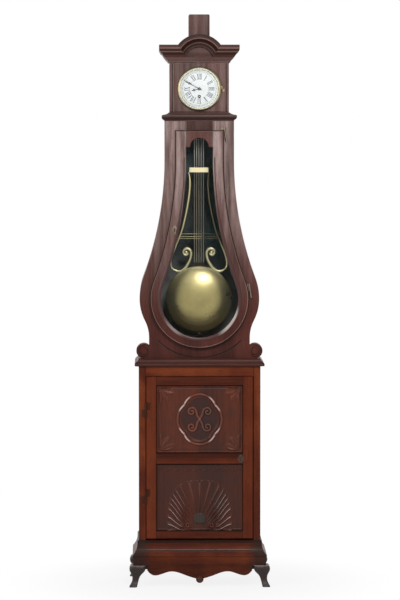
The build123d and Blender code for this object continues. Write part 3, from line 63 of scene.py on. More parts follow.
bpy.ops.object.camera_add(location=CAMERA_AT)
camera = bpy.context.object
camera.name = "camera"
camera.rotation_euler = (math.radians(90) + CAMERA_PITCH, CAMERA_ROLL, -CAMERA_YAW)
camera.data.sensor_fit = "VERTICAL"
camera.data.sensor_height = SENSOR_HEIGHT
camera.data.lens = FOCAL_IN_HEIGHTS * SENSOR_HEIGHT
camera.data.clip_end = 100
bpy.context.scene.camera = camera
print("lens", round(camera.data.lens, 1), "mm")

# %% [markdown]
# ## Node expressions
# A material is easier to read as arithmetic than as wiring. `Socket` wraps an output and overloads
# the operators, so `1 - mask * 0.5` adds the Math nodes by itself.

# %% Socket
class Socket:
    """A number that varies over a surface."""

    def __init__(self, graph, output):
        self.graph = graph
        self.output = output

    def math(self, operation, *others):
        values = {i + 1: other for i, other in enumerate(others)}
        return self.graph.node("ShaderNodeMath", {"operation": operation}, {0: self, **values})

    def __add__(self, other):
        return self.math("ADD", other)

    __radd__ = __add__

    def __sub__(self, other):
        return self.math("SUBTRACT", other)

    def __rsub__(self, other):
        return self.graph.node("ShaderNodeMath", {"operation": "SUBTRACT"}, {0: other, 1: self})

    def __mul__(self, other):
        return self.math("MULTIPLY", other)

    __rmul__ = __mul__

    def __truediv__(self, other):
        return self.math("DIVIDE", other)

    def __neg__(self):
        return self * -1

    def __abs__(self):
        return self.math("ABSOLUTE")

    def clamp(self):
        return self.graph.node("ShaderNodeClamp", {}, {0: self})

    def step(self, low, high):
        """0 below low, 1 above high, and smooth between."""
        settings = {"interpolation_type": "SMOOTHSTEP"}
        return self.graph.node("ShaderNodeMapRange", settings, {0: self, 1: low, 2: high})


def length(x, z):
    """How far a place is from the middle, from two sockets."""
    return (x * x + z * z).math("SQRT")


print("reflected operators", [name for name in vars(Socket) if name.startswith("__r")])

# %% [markdown]
# `Graph` holds the node tree of one material. Its `node` method makes any node: its type, its
# settings first, and then the values or links of its inputs. The other methods are short names for
# the nodes that nearly every finish uses.

# %% Graph
class Graph:
    """The node tree of one material."""

    def __init__(self, name):
        self.material = bpy.data.materials.new(name)
        self.material.use_nodes = True
        self.tree = self.material.node_tree
        self.shader = self.tree.nodes["Principled BSDF"]

    def connect(self, socket, value):
        if isinstance(value, Socket):
            self.tree.links.new(value.output, socket)
        else:
            socket.default_value = value

    def node(self, kind, settings, inputs, output=0):
        made = self.tree.nodes.new(kind)
        for name, value in settings.items():
            if name == "stops":
                ramp = made.color_ramp.elements
                while len(ramp) < len(value):
                    ramp.new(0.5)
                for element, (place, colour) in zip(ramp, value):
                    element.position = place
                    element.color = (*colour, 1)
            else:
                setattr(made, name, value)
        for key, value in inputs.items():
            self.connect(made.inputs[key], value)
        return Socket(self, made.outputs[output])

    def set(self, **values):
        """Set or link the shader's own sockets; an underscore stands for a blank."""
        for name, value in values.items():
            self.connect(self.shader.inputs[name.replace("_", " ")], value)

    def place(self, scale=(1, 1, 1), offset=(0, 0, 0)):
        """Object coordinates, shifted and stretched."""
        at = self.node("ShaderNodeTexCoord", {}, {}, "Object")
        inputs = {"Vector": at, "Scale": scale, "Location": offset}
        return self.node("ShaderNodeMapping", {"vector_type": "POINT"}, inputs)

    def noise(self, scale, detail, roughness, distortion=0, at=None):
        """Cloudy noise from 0 to 1, on Object coordinates or on those given."""
        inputs = {
            "Vector": at or self.place(), "Scale": scale, "Detail": detail, "Roughness": roughness,
            "Distortion": distortion,
        }
        return self.node("ShaderNodeTexNoise", {}, inputs)

    def mix(self, factor, first, second, blend="MIX"):
        """A mix of two colours."""
        settings = {"data_type": "RGBA", "blend_type": blend}
        first = first if isinstance(first, Socket) else (*first, 1)
        second = second if isinstance(second, Socket) else (*second, 1)
        return self.node("ShaderNodeMix", settings, {0: factor, 6: first, 7: second}, 2)

    def bump(self, height, strength, distance):
        inputs = {"Height": height, "Strength": strength, "Distance": distance}
        return self.node("ShaderNodeBump", {}, inputs)

    def axis(self, letter):
        """One of the object coordinates, in metres."""
        at = self.node("ShaderNodeTexCoord", {}, {}, "Object")
        return self.node("ShaderNodeSeparateXYZ", {}, {0: at}, letter)


def dress(parts, material):
    """Give parts of the frame, named in one line, their finish."""
    for name in parts.split():
        nodes[name].data.materials.clear()
        nodes[name].data.materials.append(material)


print("shader helpers ready")

# %% [markdown]
# ## Studio
# A plain pale floor and soft light. The floor fades to pure white a step away from the clock, only
# for what the camera sees, so the clock keeps its shadow and no more light falls on it. The world
# is white where the camera, a mirror or a pane looks at it, and dimmer where it lights the wood.

# %% Floor and world
FLOOR_RADIUS = 30.0
FLOOR_COLOUR = (0.86, 0.86, 0.86)
SHADOW_NEAR = 0.35
SHADOW_FAR = 0.90
SHADOW_LIFT = 0.86  # how far the shadow itself is lifted towards white
WORLD_LIGHT = 0.40


def seen(graph):
    """1 for rays from the camera, a mirror or a pane, and 0 for light on a dull surface."""
    kinds = ("Is Camera Ray", "Is Glossy Ray", "Is Transmission Ray")
    rays = [graph.node("ShaderNodeLightPath", {}, {}, kind) for kind in kinds]
    return (rays[0] + rays[1] + rays[2]).clamp()


def lay_floor():
    bpy.ops.mesh.primitive_circle_add(vertices=64, radius=FLOOR_RADIUS, fill_type="NGON")
    floor = bpy.context.object
    floor.name = "floor"
    paint = Graph("floor_paint")
    matt = paint.node("ShaderNodeBsdfDiffuse", {}, {"Color": (*FLOOR_COLOUR, 1)})
    white = paint.node("ShaderNodeEmission", {}, {"Color": (1, 1, 1, 1), "Strength": 1.0})
    away = length(paint.axis("X"), paint.axis("Y")).step(SHADOW_NEAR, SHADOW_FAR)
    lift = (away * (1 - SHADOW_LIFT) + SHADOW_LIFT) * seen(paint)
    blend = paint.node("ShaderNodeMixShader", {}, {0: lift, 1: matt, 2: white})
    paint.tree.links.new(blend.output, paint.tree.nodes["Material Output"].inputs[0])
    floor.data.materials.append(paint.material)


class WorldGraph(Graph):
    """The same node helpers on the world's tree."""

    def __init__(self):
        self.world = bpy.data.worlds.new("studio")
        self.world.use_nodes = True
        self.tree = self.world.node_tree
        bpy.context.scene.world = self.world


lay_floor()
studio = WorldGraph()
dim = studio.node("ShaderNodeBackground", {}, {"Color": (1, 1, 1, 1), "Strength": WORLD_LIGHT})
white = studio.node("ShaderNodeBackground", {}, {"Color": (1, 1, 1, 1), "Strength": 1.0})
sky = studio.node("ShaderNodeMixShader", {}, {0: seen(studio), 1: dim, 2: white})
studio.tree.links.new(sky.output, studio.tree.nodes["World Output"].inputs[0])
bpy.context.scene.view_settings.view_transform = "Standard"
print("world light", WORLD_LIGHT)

# %% [markdown]
# Three square lamps stand for a bright room: the key over the right shoulder of the viewer, a
# second from the left that opens the shadows, and one behind for the back of the case. An area lamp
# gives the soft edges that a window gives.

# %% Lamps
TARGET = Vector((0, 0, 1.25))
LAMPS = {
    "key_lamp": ((0.50, -3.70, 3.05), 0.80, 56),
    "left_lamp": ((-3.6, -3.2, 2.6), 1.6, 54),
    "back_lamp": ((2.6, 3.4, 2.8), 1.6, 35),
}  # place, side and watts

for name, (at, side, watts) in LAMPS.items():
    bpy.ops.object.light_add(type="AREA", location=at)
    lamp = bpy.context.object
    lamp.name = name
    lamp.data.shape = "SQUARE"
    lamp.data.size = side
    lamp.data.energy = watts
    lamp.rotation_euler = (TARGET - Vector(at)).to_track_quat("-Z", "Y").to_euler()
print("lamps", list(LAMPS))

# %% [markdown]
# ## Stained wood
# The case is beech or oak stained to a dark red mahogany and waxed. Noise that is stretched along the
# grain makes it: broad streaks of red and brown, fine fibres, and short dark pores that also dent the
# surface. The grain runs along each board, so the stretch is given per piece, and a framed door has
# upright grain on its stiles, level grain on its rails and a dark seam where they meet, which is also
# painted shade where a stile runs beside a panel.

# %% Layers of the wood
GRAIN = {"x": (0.9, 14.0, 14.0), "y": (14.0, 0.9, 14.0), "z": (14.0, 14.0, 0.9)}
SEAM = (0.0006, 0.0018)


def wood_layers(graph, grain, seed):
    """Streaks, fibres and pores as three masks."""
    at = graph.place(GRAIN[grain], (seed * 1.7, seed * 0.9, seed * 2.3))
    streaks = graph.noise(0.55, 3, 0.5, 0.6, at)
    fibres = graph.noise(9.0, 5, 0.65, at=at)
    pores = graph.noise(46.0, 2, 0.5, at=at).step(0.60, 0.72)
    return streaks, fibres, pores


def framed_layers(graph, seed, half, low):
    """Upright grain on the stiles, level grain on the rails between them above low."""
    across = abs(graph.axis("X"))
    above = graph.axis("Z").step(low - 0.001, low + 0.001)
    level_part = (1 - across.step(half - 0.0004, half + 0.0004)) * above
    # a dark joint line, which beside a panel is also painted shade along its edge
    seam_and_shade = (1 - abs(across - half).step(*SEAM)) * above
    upright = wood_layers(graph, "z", seed)
    level = wood_layers(graph, "x", seed + 5)
    layers = [u * (1 - level_part) + v * level_part for u, v in zip(upright, level)]
    return layers, seam_and_shade


def two_toned(graph, streaks, fibres, tones):
    """The dark and the light tone of a wood, mixed by its streaks and fibres."""
    return graph.mix((streaks * 0.95 + fibres * 0.45 - 0.20).step(0.22, 0.78), *tones)


def line_at(distance, half):
    """1 on a thin line where a distance is nought."""
    return 1 - abs(distance).step(half * 0.5, half * 1.4)


print("grain runs along", list(GRAIN))

# %% [markdown]
# More layers lie over the wood. A greyish painted sheen, the studio's light reflected on the upper
# case, grows with height. Top edges carry lines of painted highlight, lines of painted shade lie
# under the mouldings, and the base is redder and darker at the ends of its front. Every layer is a
# mask that mixes one more colour over the wood, so each board asks only for the ones it has.

# %% Wood finish
# greyish colour of a painted sheen: the studio's light reflected on the upper case
PAINTED_SHEEN = (0.460, 0.340, 0.315)
PAINTED_SHEEN_LEVELS = (1.10, 1.90)
PAINTED_SHEEN_EDGE = (0.050, 0.058)  # the painted sheen lies on the stiles, not on the rail over the window
# near black: the pores, and the lines of painted shade under mouldings and beside panels
PORE_AND_SHADE = (0.012, 0.005, 0.004)
FLAME = (0.270, 0.062, 0.018)
# pale colour of the lines of painted highlight along lit top edges
EDGE_HIGHLIGHT = (0.330, 0.235, 0.205)
END_DARKENING = (0.026, 0.016, 0.013)
CORNER_DEEP = (-0.105, -0.060)  # the dark ends fade from the front corners to the back


def with_painted_sheen(graph, colour, grain, seed, streaks, wear, strength, edge):
    """Painted sheen in streaks, rising with height; with edge, mostly away from the middle of the
    board.
    """
    rising = graph.axis("Z").step(*PAINTED_SHEEN_LEVELS)
    outer = abs(graph.axis("X")).step(*PAINTED_SHEEN_EDGE) * 0.85 + 0.15 if edge else 1.0
    at = graph.place(GRAIN[grain], (seed, seed * 3.1, seed))
    veil = graph.noise(3.6, 3, 0.6, at=at).step(0.30, 0.72)
    patchy = (veil * 0.75 + streaks * 0.5 + wear * 0.3 - 0.14).clamp()
    return graph.mix(rising * outer * patchy * strength, colour, PAINTED_SHEEN)


def stained_wood(name, grain, seed, tones, gloss=0.30, level=0.10, painted_sheen=0.0, rails=None,
                 flame=0.0, wear_and_highlight=(), shade_lines=(), edge=False, dark_ends=None):
    """Wood; rails are (half width, lowest level), lines of painted highlight and of painted shade are
    (level, half).
    """
    graph = Graph(name)
    if rails:
        (streaks, fibres, pores), seam_and_shade = framed_layers(graph, seed, *rails)
    else:
        streaks, fibres, pores = wood_layers(graph, grain, seed)
    wear = graph.noise(5.0, 3, 0.6)
    x, z = abs(graph.axis("X")), graph.axis("Z")
    colour = two_toned(graph, streaks, fibres, tones)
    if flame:
        patch = (wear * 0.9 + streaks * 0.8 - 0.35).step(0.42, 0.72)
        colour = graph.mix(patch * flame, colour, FLAME)
    # a greyish painted sheen on the upper case
    if painted_sheen:
        colour = with_painted_sheen(graph, colour, grain, seed, streaks, wear, painted_sheen, edge)
    # lines of painted highlight along lit top edges
    for at, half in wear_and_highlight:
        colour = graph.mix(line_at(z - at, half) * (wear * 0.8 + 0.2), colour, EDGE_HIGHLIGHT)
    on_rail = 1 - x.step(rails[0] - 0.001, rails[0]) if rails else 1.0
    # lines of painted shade under mouldings and beside panels
    for at, half in shade_lines:
        colour = graph.mix(line_at(z - at, half) * on_rail * 0.85, colour, PORE_AND_SHADE)
    # the dark seam of the joints, which beside a panel is also painted shade along its edge
    if rails:
        colour = graph.mix(seam_and_shade * 0.75, colour, PORE_AND_SHADE)
    # darker at both ends of the front, fading towards the back
    if dark_ends:
        ends = (x + wear * 0.03).step(dark_ends - 0.018, dark_ends + 0.030)
        front = 1 - graph.axis("Y").step(*CORNER_DEEP)
        colour = graph.mix(ends * front * 0.80, colour, END_DARKENING)
    graph.set(
        Base_Color=graph.mix(pores * 0.6, colour, PORE_AND_SHADE),
        Roughness=gloss + wear * 0.16 + pores * 0.15,
        Specular_IOR_Level=level,
        Normal=graph.bump(fibres * 0.5 - pores, 0.25, 0.0006),
    )
    return graph.material


print("bloom from", PAINTED_SHEEN_LEVELS[0], "to", PAINTED_SHEEN_LEVELS[1], "m")

# %% [markdown]
# One wood for each kind of board. The trunk and hood share their tones and differ in their painted
# sheen; the cabinet is redder and glossier. Tones are a dark and a light colour, and the numbers
# after them are the gloss, the strength of the real sheen and that of the painted sheen.

# %% Woods of this clock
TRUNK_TONES = ((0.036, 0.011, 0.008), (0.110, 0.030, 0.022))
BASE_TONES = ((0.034, 0.007, 0.003), (0.135, 0.025, 0.009))
WAIST_TONES = ((0.046, 0.014, 0.010), (0.115, 0.038, 0.029))
FOOT_TONES = ((0.016, 0.010, 0.009), (0.044, 0.020, 0.015))
# light tones of the beads: a painted highlight
HIGHLIGHT_BEAD_TONES = ((0.120, 0.058, 0.045), (0.260, 0.165, 0.140))
# near-black tones of quirks and grooves: painted shade
SHADE_LINE_TONES = ((0.010, 0.004, 0.003), (0.020, 0.008, 0.006))
SHEEN_TONES = ((0.036, 0.013, 0.011), (0.090, 0.030, 0.024))

trunk_wood = stained_wood("waxed_trunk_wood", "z", 2, TRUNK_TONES, 0.36, 0.12, 0.90, edge=True)
trunk_door_wood = stained_wood(
    "framed_trunk_wood", "z", 2, TRUNK_TONES, 0.36, 0.12, 0.96, rails=(0.0540, 1.843), edge=True
)
hood_wood = {
    grain: stained_wood(f"sheen_painted_hood_wood_{grain}", grain, seed, TRUNK_TONES, 0.42, 0.14, 0.25)
    for grain, seed in (("x", 2), ("z", 4))
}
# a line of painted shade along the foot of the hood's front
hood_front_wood = stained_wood(
    "hood_front_wood", "z", 3, TRUNK_TONES, 0.42, 0.14, 0.34, shade_lines=((1.9905, 0.0022),)
)
# painted sheen, and a band of painted shade under the moulding
hood_base_wood = stained_wood(
    "hood_base_wood", "x", 15, TRUNK_TONES, 0.38, 0.13, 0.22, shade_lines=((1.9640, 0.0080),)
)
crest_wood = stained_wood("sheen_painted_crest_wood", "z", 12, TRUNK_TONES, 0.42, 0.14, 0.32)
# a line of painted highlight on the top edge of the moulding, and lines of painted shade below it
waist_wood = stained_wood(
    "waist_wood", "x", 4, WAIST_TONES, 0.32, 0.12,
    wear_and_highlight=((0.9500, 0.0007),), shade_lines=((0.9405, 0.0008), (0.9270, 0.0016)),
)
cabinet_wood = {
    grain: stained_wood(f"polished_cabinet_wood_{grain}", grain, seed, BASE_TONES)
    for seed, grain in enumerate("xyz", 4)
}
front_frame_wood = stained_wood(
    "framed_cabinet_wood", "z", 14, BASE_TONES, rails=(0.2265, 0.0), flame=0.50
)
# lines of painted shade along the edges of the panels
door_frame_wood = stained_wood(
    "framed_door_wood", "z", 21, BASE_TONES, rails=(0.1815, 0.0), flame=0.20,
    shade_lines=((0.8460, 0.0024), (0.5605, 0.0020), (0.5155, 0.0024), (0.2325, 0.0020)),
)
# a line of painted highlight on the top edge, painted shade under the moulding and under the door, and
# darker ends
plinth_wood = stained_wood(
    "plinth_wood", "x", 5, BASE_TONES, flame=0.35, dark_ends=0.2300,
    wear_and_highlight=((0.1560, 0.0007),), shade_lines=((0.1520, 0.0016), (0.1900, 0.0060)),
)
# a line of painted highlight along the top of the foot
foot_wood = stained_wood(
    "highlight_edged_foot_wood", "z", 9, FOOT_TONES, 0.30, 0.32, wear_and_highlight=((0.0905, 0.0014),)
)
highlight_bead_wood = stained_wood("highlight_painted_bead_wood", "z", 2, HIGHLIGHT_BEAD_TONES, 0.30, 0.30)
shade_line_wood = stained_wood("shade_painted_quirk_wood", "z", 6, SHADE_LINE_TONES, 0.40, 0.12)
sheen_wood = stained_wood("rounded_edge_wood", "z", 8, SHEEN_TONES, 0.30, 0.34)
print("cabinet woods", [wood.name for wood in cabinet_wood.values()])

# %% [markdown]
# The round at the window carries a painted highlight low down on both sides of the bulb, more on the
# right. Two masks along X and Z give the places, and the distance from the middle of the bulb keeps
# the highlight on the inner side.

# %% Rim of the window
RIM_MIDDLE = 1.200
RIM_BRIGHT = 0.1680  # the painted highlight lies inside this radius
# pale colour of the painted highlight on the window's round
RIM_HIGHLIGHT = (0.560, 0.480, 0.450)


def rim_finish(name):
    graph = Graph(name)
    streaks = wood_layers(graph, "z", 8)[0]
    x, z = graph.axis("X"), graph.axis("Z")
    # painted highlight low on the bulb, stronger on the right
    right = x.step(0.070, 0.120) * (1 - z.step(1.130, 1.185))
    left = (-x).step(0.060, 0.110) * (1 - z.step(1.080, 1.140))
    inner = 1 - length(x, z - RIM_MIDDLE).step(RIM_BRIGHT - 0.0020, RIM_BRIGHT + 0.0020)
    rub = ((right * 0.85 + left * 0.40) * inner).clamp()
    graph.set(
        Base_Color=graph.mix(rub, graph.mix(streaks, *SHEEN_TONES), RIM_HIGHLIGHT),
        Roughness=0.30,
        Specular_IOR_Level=0.34,
    )
    return graph.material


rim_wood = rim_finish("window_rim_wood")
print("rim rubbed within", RIM_BRIGHT, "m")

# %% [markdown]
# The cornice's mouldings carry bands of painted shade and painted highlight, and the frieze a painted
# sheen. On the straight parts a band follows the height, and on the arch it follows the distance from
# the arch's middle; the mitre lines part the two.

# %% Cornice finish
CORNICE_TONES = ((0.050, 0.017, 0.013), (0.096, 0.034, 0.026))
# near-black colour of the painted shade in the mouldings' bands
CORNICE_SHADE = (0.026, 0.008, 0.005)
ARCH_MIDDLE = 2.202
MITRE_Z, MITRE_LOW, MITRE_SLOPE = 2.219, 0.058, 0.608
MITRE_SOFT = 0.0006
# bands of painted shade and of painted highlight, on the straight parts by height and on the arch by
# radius
STRAIGHT_SHADE = ((2.2720, 0.0030), (2.2480, 0.0026), (2.2330, 0.0060))
ARCH_SHADE = ((0.1070, 0.0050), (0.0840, 0.0060), (0.0700, 0.0050), (0.0610, 0.0016))
STRAIGHT_HIGHLIGHT = ((2.2560, 0.0024), (2.2405, 0.0020))
ARCH_HIGHLIGHT = ((0.0950, 0.0022), (0.0770, 0.0016))


def bands(distance, lines):
    masks = [line_at(distance - at, half) for at, half in lines]
    return sum(masks[1:], masks[0])


def cornice_finish(name):
    graph = Graph(name)
    streaks, fibres, pores = wood_layers(graph, "x", 13)
    wear = graph.noise(5.0, 3, 0.6)
    x, z = abs(graph.axis("X")), graph.axis("Z")
    radius = length(x, z - ARCH_MIDDLE)
    within = ((z - MITRE_Z) * MITRE_SLOPE + MITRE_LOW - x).step(-MITRE_SOFT, MITRE_SOFT)
    arch = within * z.step(MITRE_Z - MITRE_SOFT, MITRE_Z + MITRE_SOFT)
    # bands of painted shade and painted highlight
    shade_bands = bands(z, STRAIGHT_SHADE) * (1 - arch) + bands(radius, ARCH_SHADE) * arch
    rub = bands(z, STRAIGHT_HIGHLIGHT) * (1 - arch) + bands(radius, ARCH_HIGHLIGHT) * arch
    # a painted sheen on the frieze
    frieze = 1 - z.step(MITRE_Z - 0.002, MITRE_Z)
    wood = two_toned(graph, streaks, fibres, CORNICE_TONES)
    with_sheen = graph.mix(frieze * (wear * 0.36), wood, PAINTED_SHEEN)
    highlighted = graph.mix(rub * (wear * 0.9 + 0.1), with_sheen, EDGE_HIGHLIGHT)
    graph.set(
        Base_Color=graph.mix(shade_bands * 0.88, highlighted, CORNICE_SHADE),
        Roughness=0.36 + wear * 0.14,
        Specular_IOR_Level=0.14,
        Normal=graph.bump(fibres * 0.5 - pores, 0.25, 0.0006),
    )
    return graph.material


cornice_wood = cornice_finish("cornice_wood")
print("cornice lines", len(STRAIGHT_SHADE + ARCH_SHADE + STRAIGHT_HIGHLIGHT + ARCH_HIGHLIGHT))

# %% [markdown]
# Carved wood gets painted shade in the hollows and a painted highlight on the ridges. The carving
# stores its own height on the mesh as an attribute, and where its painted highlight lies as another,
# and the finish follows them.

# %% Carved wood
UPPER_TONES = ((0.030, 0.010, 0.006), (0.150, 0.032, 0.013))
SHELL_TONES = ((0.026, 0.010, 0.007), (0.094, 0.024, 0.013))
DUST = (0.034, 0.024, 0.021)
# painted shade in the hollows, painted highlight on the ridges and where the carving marks it
HOLLOW_SHADE = (0.040, 0.018, 0.016)
RIDGE_HIGHLIGHT = (0.165, 0.062, 0.044)
CARVING_HIGHLIGHT = (0.560, 0.430, 0.390)
BUD_TONE = (0.036, 0.034, 0.028)


def carved_finish(name, tones):
    """Wood with painted shade and highlight from relief, 0 to 1, and painted highlight, from 1 where
    brightest to -1 on the bud.
    """
    graph = Graph(name)
    streaks, fibres, pores = wood_layers(graph, "z", 11)
    relief = graph.node("ShaderNodeAttribute", {"attribute_name": "relief"}, {}, "Fac")
    rub = graph.node("ShaderNodeAttribute", {"attribute_name": "rub"}, {}, "Fac")
    dust = graph.noise(14.0, 4, 0.6)
    ground = graph.mix((streaks * 0.7 + fibres * 0.5).step(0.30, 0.85), *tones)
    grey = graph.mix((dust * 2.6 - 1.15).clamp() * 0.6, ground, DUST)
    # painted shade in the hollows and painted highlight on the ridges, both from the height
    hollow_shaded = graph.mix(relief.step(0.02, 0.50), HOLLOW_SHADE, grey)
    ridge_lit = graph.mix(relief.step(0.70, 1.0) * 0.65, hollow_shaded, RIDGE_HIGHLIGHT)
    # painted highlight where the carving marks it
    bright = graph.mix(rub.clamp() * (dust * 1.2 + 0.35).clamp(), ridge_lit, CARVING_HIGHLIGHT)
    colour = graph.mix((-rub).clamp(), bright, BUD_TONE)
    graph.set(
        Base_Color=graph.mix(pores * 0.4, colour, PORE_AND_SHADE),
        Roughness=0.44 - relief * 0.20,
        Specular_IOR_Level=0.16,
        Normal=graph.bump(fibres * 0.4 - pores, 0.2, 0.0005),
    )
    return graph.material


carved_wood = carved_finish("carved_wood", UPPER_TONES)
shell_wood = carved_finish("shell_wood", SHELL_TONES)
print("carved finishes", carved_wood.name, shell_wood.name)

# %% [markdown]
# Inside, the trunk is painted a dark greenish black, so that the pendulum stands out. The paint is
# only on the faces that look inwards, which their normals tell. Painted light brightens it at the top
# of the window and low in the bulb, and it is greener on the right behind the rods.

# %% Painted inside
INSIDE = (0.085, 0.100, 0.098)
INSIDE_SMOKED = (0.036, 0.042, 0.043)
# painted light on the paint at the top of the window and low in the bulb
INSIDE_PAINTED_TOP_LIGHT = (0.150, 0.200, 0.205)
INSIDE_PAINTED_LOW_LIGHT = (0.300, 0.310, 0.290)
INSIDE_RIGHT = (0.060, 0.130, 0.120)


def painted_inside(name, grain, seed, inward):
    """Trunk wood outside, dark paint where the mask inward(graph) is 1."""
    graph = Graph(name)
    streaks, fibres, pores = wood_layers(graph, grain, seed)
    wood = two_toned(graph, streaks, fibres, TRUNK_TONES)
    smoke = graph.noise(4.0, 4, 0.6)
    z = graph.axis("Z")
    paint = graph.mix(smoke.step(0.35, 0.70), INSIDE, INSIDE_SMOKED)
    # painted light at the top and low down
    paint = graph.mix(z.step(1.68, 1.80) * 0.8, paint, INSIDE_PAINTED_TOP_LIGHT)
    paint = graph.mix((1 - z.step(1.20, 1.42)) * 0.9, paint, INSIDE_PAINTED_LOW_LIGHT)
    right = graph.axis("X").step(0.010, 0.080) * z.step(1.25, 1.40) * (1 - z.step(1.68, 1.74))
    paint = graph.mix(right * smoke.step(0.30, 0.62) * 0.9, paint, INSIDE_RIGHT)
    graph.set(
        Base_Color=graph.mix(inward(graph), wood, paint),
        Roughness=0.45 + pores * 0.15,
        Specular_IOR_Level=0.12,
    )
    return graph.material


def towards_axis(graph):
    """1 where a face looks at the middle plane of the clock."""
    normal = graph.node("ShaderNodeNewGeometry", {}, {}, "Normal")
    across = graph.node("ShaderNodeSeparateXYZ", {}, {0: normal}, "X")
    return 1 - (across * graph.axis("X") * 1000).step(-1, 1)


def front_half(graph):
    """1 on the room side of the back board."""
    return 1 - graph.axis("Y").step(0.1592, 0.1600)


side_wood = painted_inside("trunk_side_wood", "z", 3, towards_axis)
back_wood = painted_inside("trunk_back_wood", "z", 7, front_half)
print("painted", side_wood.name, back_wood.name)

# %% [markdown]
# Every board keeps its own shape and takes the wood that its grain and its place ask for.

# %% Dress the case
CASE = (
    (trunk_wood, "trunk_face_frame scroll_ears"),
    (trunk_door_wood, "trunk_door_frame"),
    # the glass bead is near black: painted shade round the window
    (shade_line_wood, "glass_bead"),
    (side_wood, "trunk_sides"),
    (back_wood, "trunk_back"),
    (hood_wood["z"], "hood_sides hood_back"),
    (hood_wood["x"], "pediment_board hood_top seatboard"),
    (hood_front_wood, "hood_front"),
    (hood_base_wood, "hood_base"),
    (crest_wood, "crest_block"),
    (cornice_wood, "cornice"),
    (waist_wood, "waist_board"),
    (cabinet_wood["x"], "cabinet_floor"),
    (cabinet_wood["y"], "side_aprons"),
    (cabinet_wood["z"], "cabinet_sides cabinet_back"),
    (front_frame_wood, "cabinet_front_frame"),
    (door_frame_wood, "cabinet_door_frame"),
    (plinth_wood, "plinth apron_front"),
)
for wood, parts in CASE:
    dress(parts, wood)
print("kinds of board dressed", len(CASE))

# %% [markdown]
# ## Metals
# Old brass is never one colour: it is bright where it is rubbed and olive where it has tarnished. A
# cloudy noise mixes the two and makes the dark patches duller. The same finish with other colours
# serves for steel, blued hands and iron.

# %% Brass, steel and iron
def brass(name, bright, dark, rough, patina=0.5):
    """Brass with a cloudy patina: darker and duller in patches."""
    graph = Graph(name)
    cloud = graph.noise(9.0, 5, 0.62).step(0.35, 0.70)
    fleck = graph.noise(160.0, 3, 0.5)
    graph.set(
        Base_Color=graph.mix(cloud * patina, bright, dark),
        Metallic=1.0,
        Roughness=rough + cloud * 0.12 + fleck * 0.06,
        Normal=graph.bump(fleck, 0.08, 0.0003),
    )
    return graph.material


aged_brass = brass("aged_brass", (0.20, 0.165, 0.105), (0.08, 0.06, 0.035), 0.34)
bar_brass = brass("rubbed_brass", (0.76, 0.68, 0.42), (0.52, 0.43, 0.24), 0.28, 0.4)
dark_brass = brass("tarnished_brass", (0.26, 0.21, 0.15), (0.09, 0.07, 0.05), 0.40, 0.6)
steel = brass("ground_steel", (0.42, 0.42, 0.43), (0.22, 0.21, 0.20), 0.32)
blued = brass("blued_steel", (0.020, 0.024, 0.050), (0.012, 0.012, 0.020), 0.25)
iron = brass("dark_iron", (0.085, 0.062, 0.050), (0.030, 0.021, 0.017), 0.50)
stained_iron = brass("stained_iron", (0.060, 0.022, 0.014), (0.026, 0.010, 0.007), 0.55)
print("metals", aged_brass.name, steel.name, iron.name)

# %% [markdown]
# The pendulum's metals change over their length. On the bob, painted light makes it brightest above
# its middle, a painted highlight runs along the top of its rim and another in a band low down, and
# painted shade darkens it to its rim and foot; on the rods, painted light brightens the top. Height
# and distance from the middle of the bob give the masks.

# %% Bob and rods
BOB_MIDDLE = 1.200
BOB_RADIUS = 0.140
CLAMP_TOP = 1.3550  # the clamp over the bob is dark up to here


def bob_finish(name):
    graph = Graph(name)
    x = graph.axis("X") / BOB_RADIUS
    z = (graph.axis("Z") - BOB_MIDDLE) / BOB_RADIUS
    cloud = graph.noise(14.0, 4, 0.55).step(0.30, 0.75)
    away = length(x, z)
    # painted shade towards the rim, painted light above the middle, painted shade at the foot
    edge_shaded = graph.mix(away.step(0.40, 0.95), (0.420, 0.360, 0.150), (0.150, 0.140, 0.090))
    lit = graph.mix(z.step(0.10, 0.80) * 0.8, edge_shaded, (0.560, 0.490, 0.230))
    low = graph.mix((-z).step(0.10, 0.80) * 0.6, lit, (0.300, 0.225, 0.080))
    # a painted highlight along the top of the rim, and another in a band low down
    rim = graph.mix(away.step(0.90, 0.975) * z.step(0.55, 0.85), low, (1.000, 0.920, 0.520))
    band = line_at(away - 0.72, 0.08) * (-z).step(0.40, 0.65)
    with_painted_reflection = graph.mix(band * 0.5, rim, (0.620, 0.500, 0.240))
    graph.set(
        Base_Color=graph.mix(cloud * 0.40, with_painted_reflection, (0.170, 0.135, 0.055)),
        Metallic=0.80 - away.step(0.60, 0.95) * 0.30,
        Roughness=0.27 + cloud * 0.09,
    )
    return graph.material


def rod_finish(name):
    graph = Graph(name)
    z = graph.axis("Z")
    cloud = graph.noise(9.0, 4, 0.6).step(0.35, 0.70)
    clamp = 1 - z.step(CLAMP_TOP - 0.001, CLAMP_TOP + 0.001)
    darkened = graph.mix(cloud * 0.5, (0.330, 0.310, 0.240), (0.120, 0.110, 0.080))
    dark = graph.mix(clamp, darkened, (0.030, 0.027, 0.018))
    # painted light on the rods at the top of the window
    graph.set(
        Base_Color=graph.mix(z.step(1.72, 1.84) * 0.7, dark, (0.860, 0.850, 0.760)),
        Metallic=1.0,
        Roughness=0.30 + cloud * 0.12,
    )
    return graph.material


bob_brass = bob_finish("bob_brass")
rod_brass = rod_finish("rod_brass")
print("bob and rods", bob_brass.name, rod_brass.name)

# %% [markdown]
# The lyre carries painted shade on its right arm and is greyer and greener low down, and the bezel's
# pale plating carries a painted gold reflection at the sides. With them, every metal part has its
# finish.

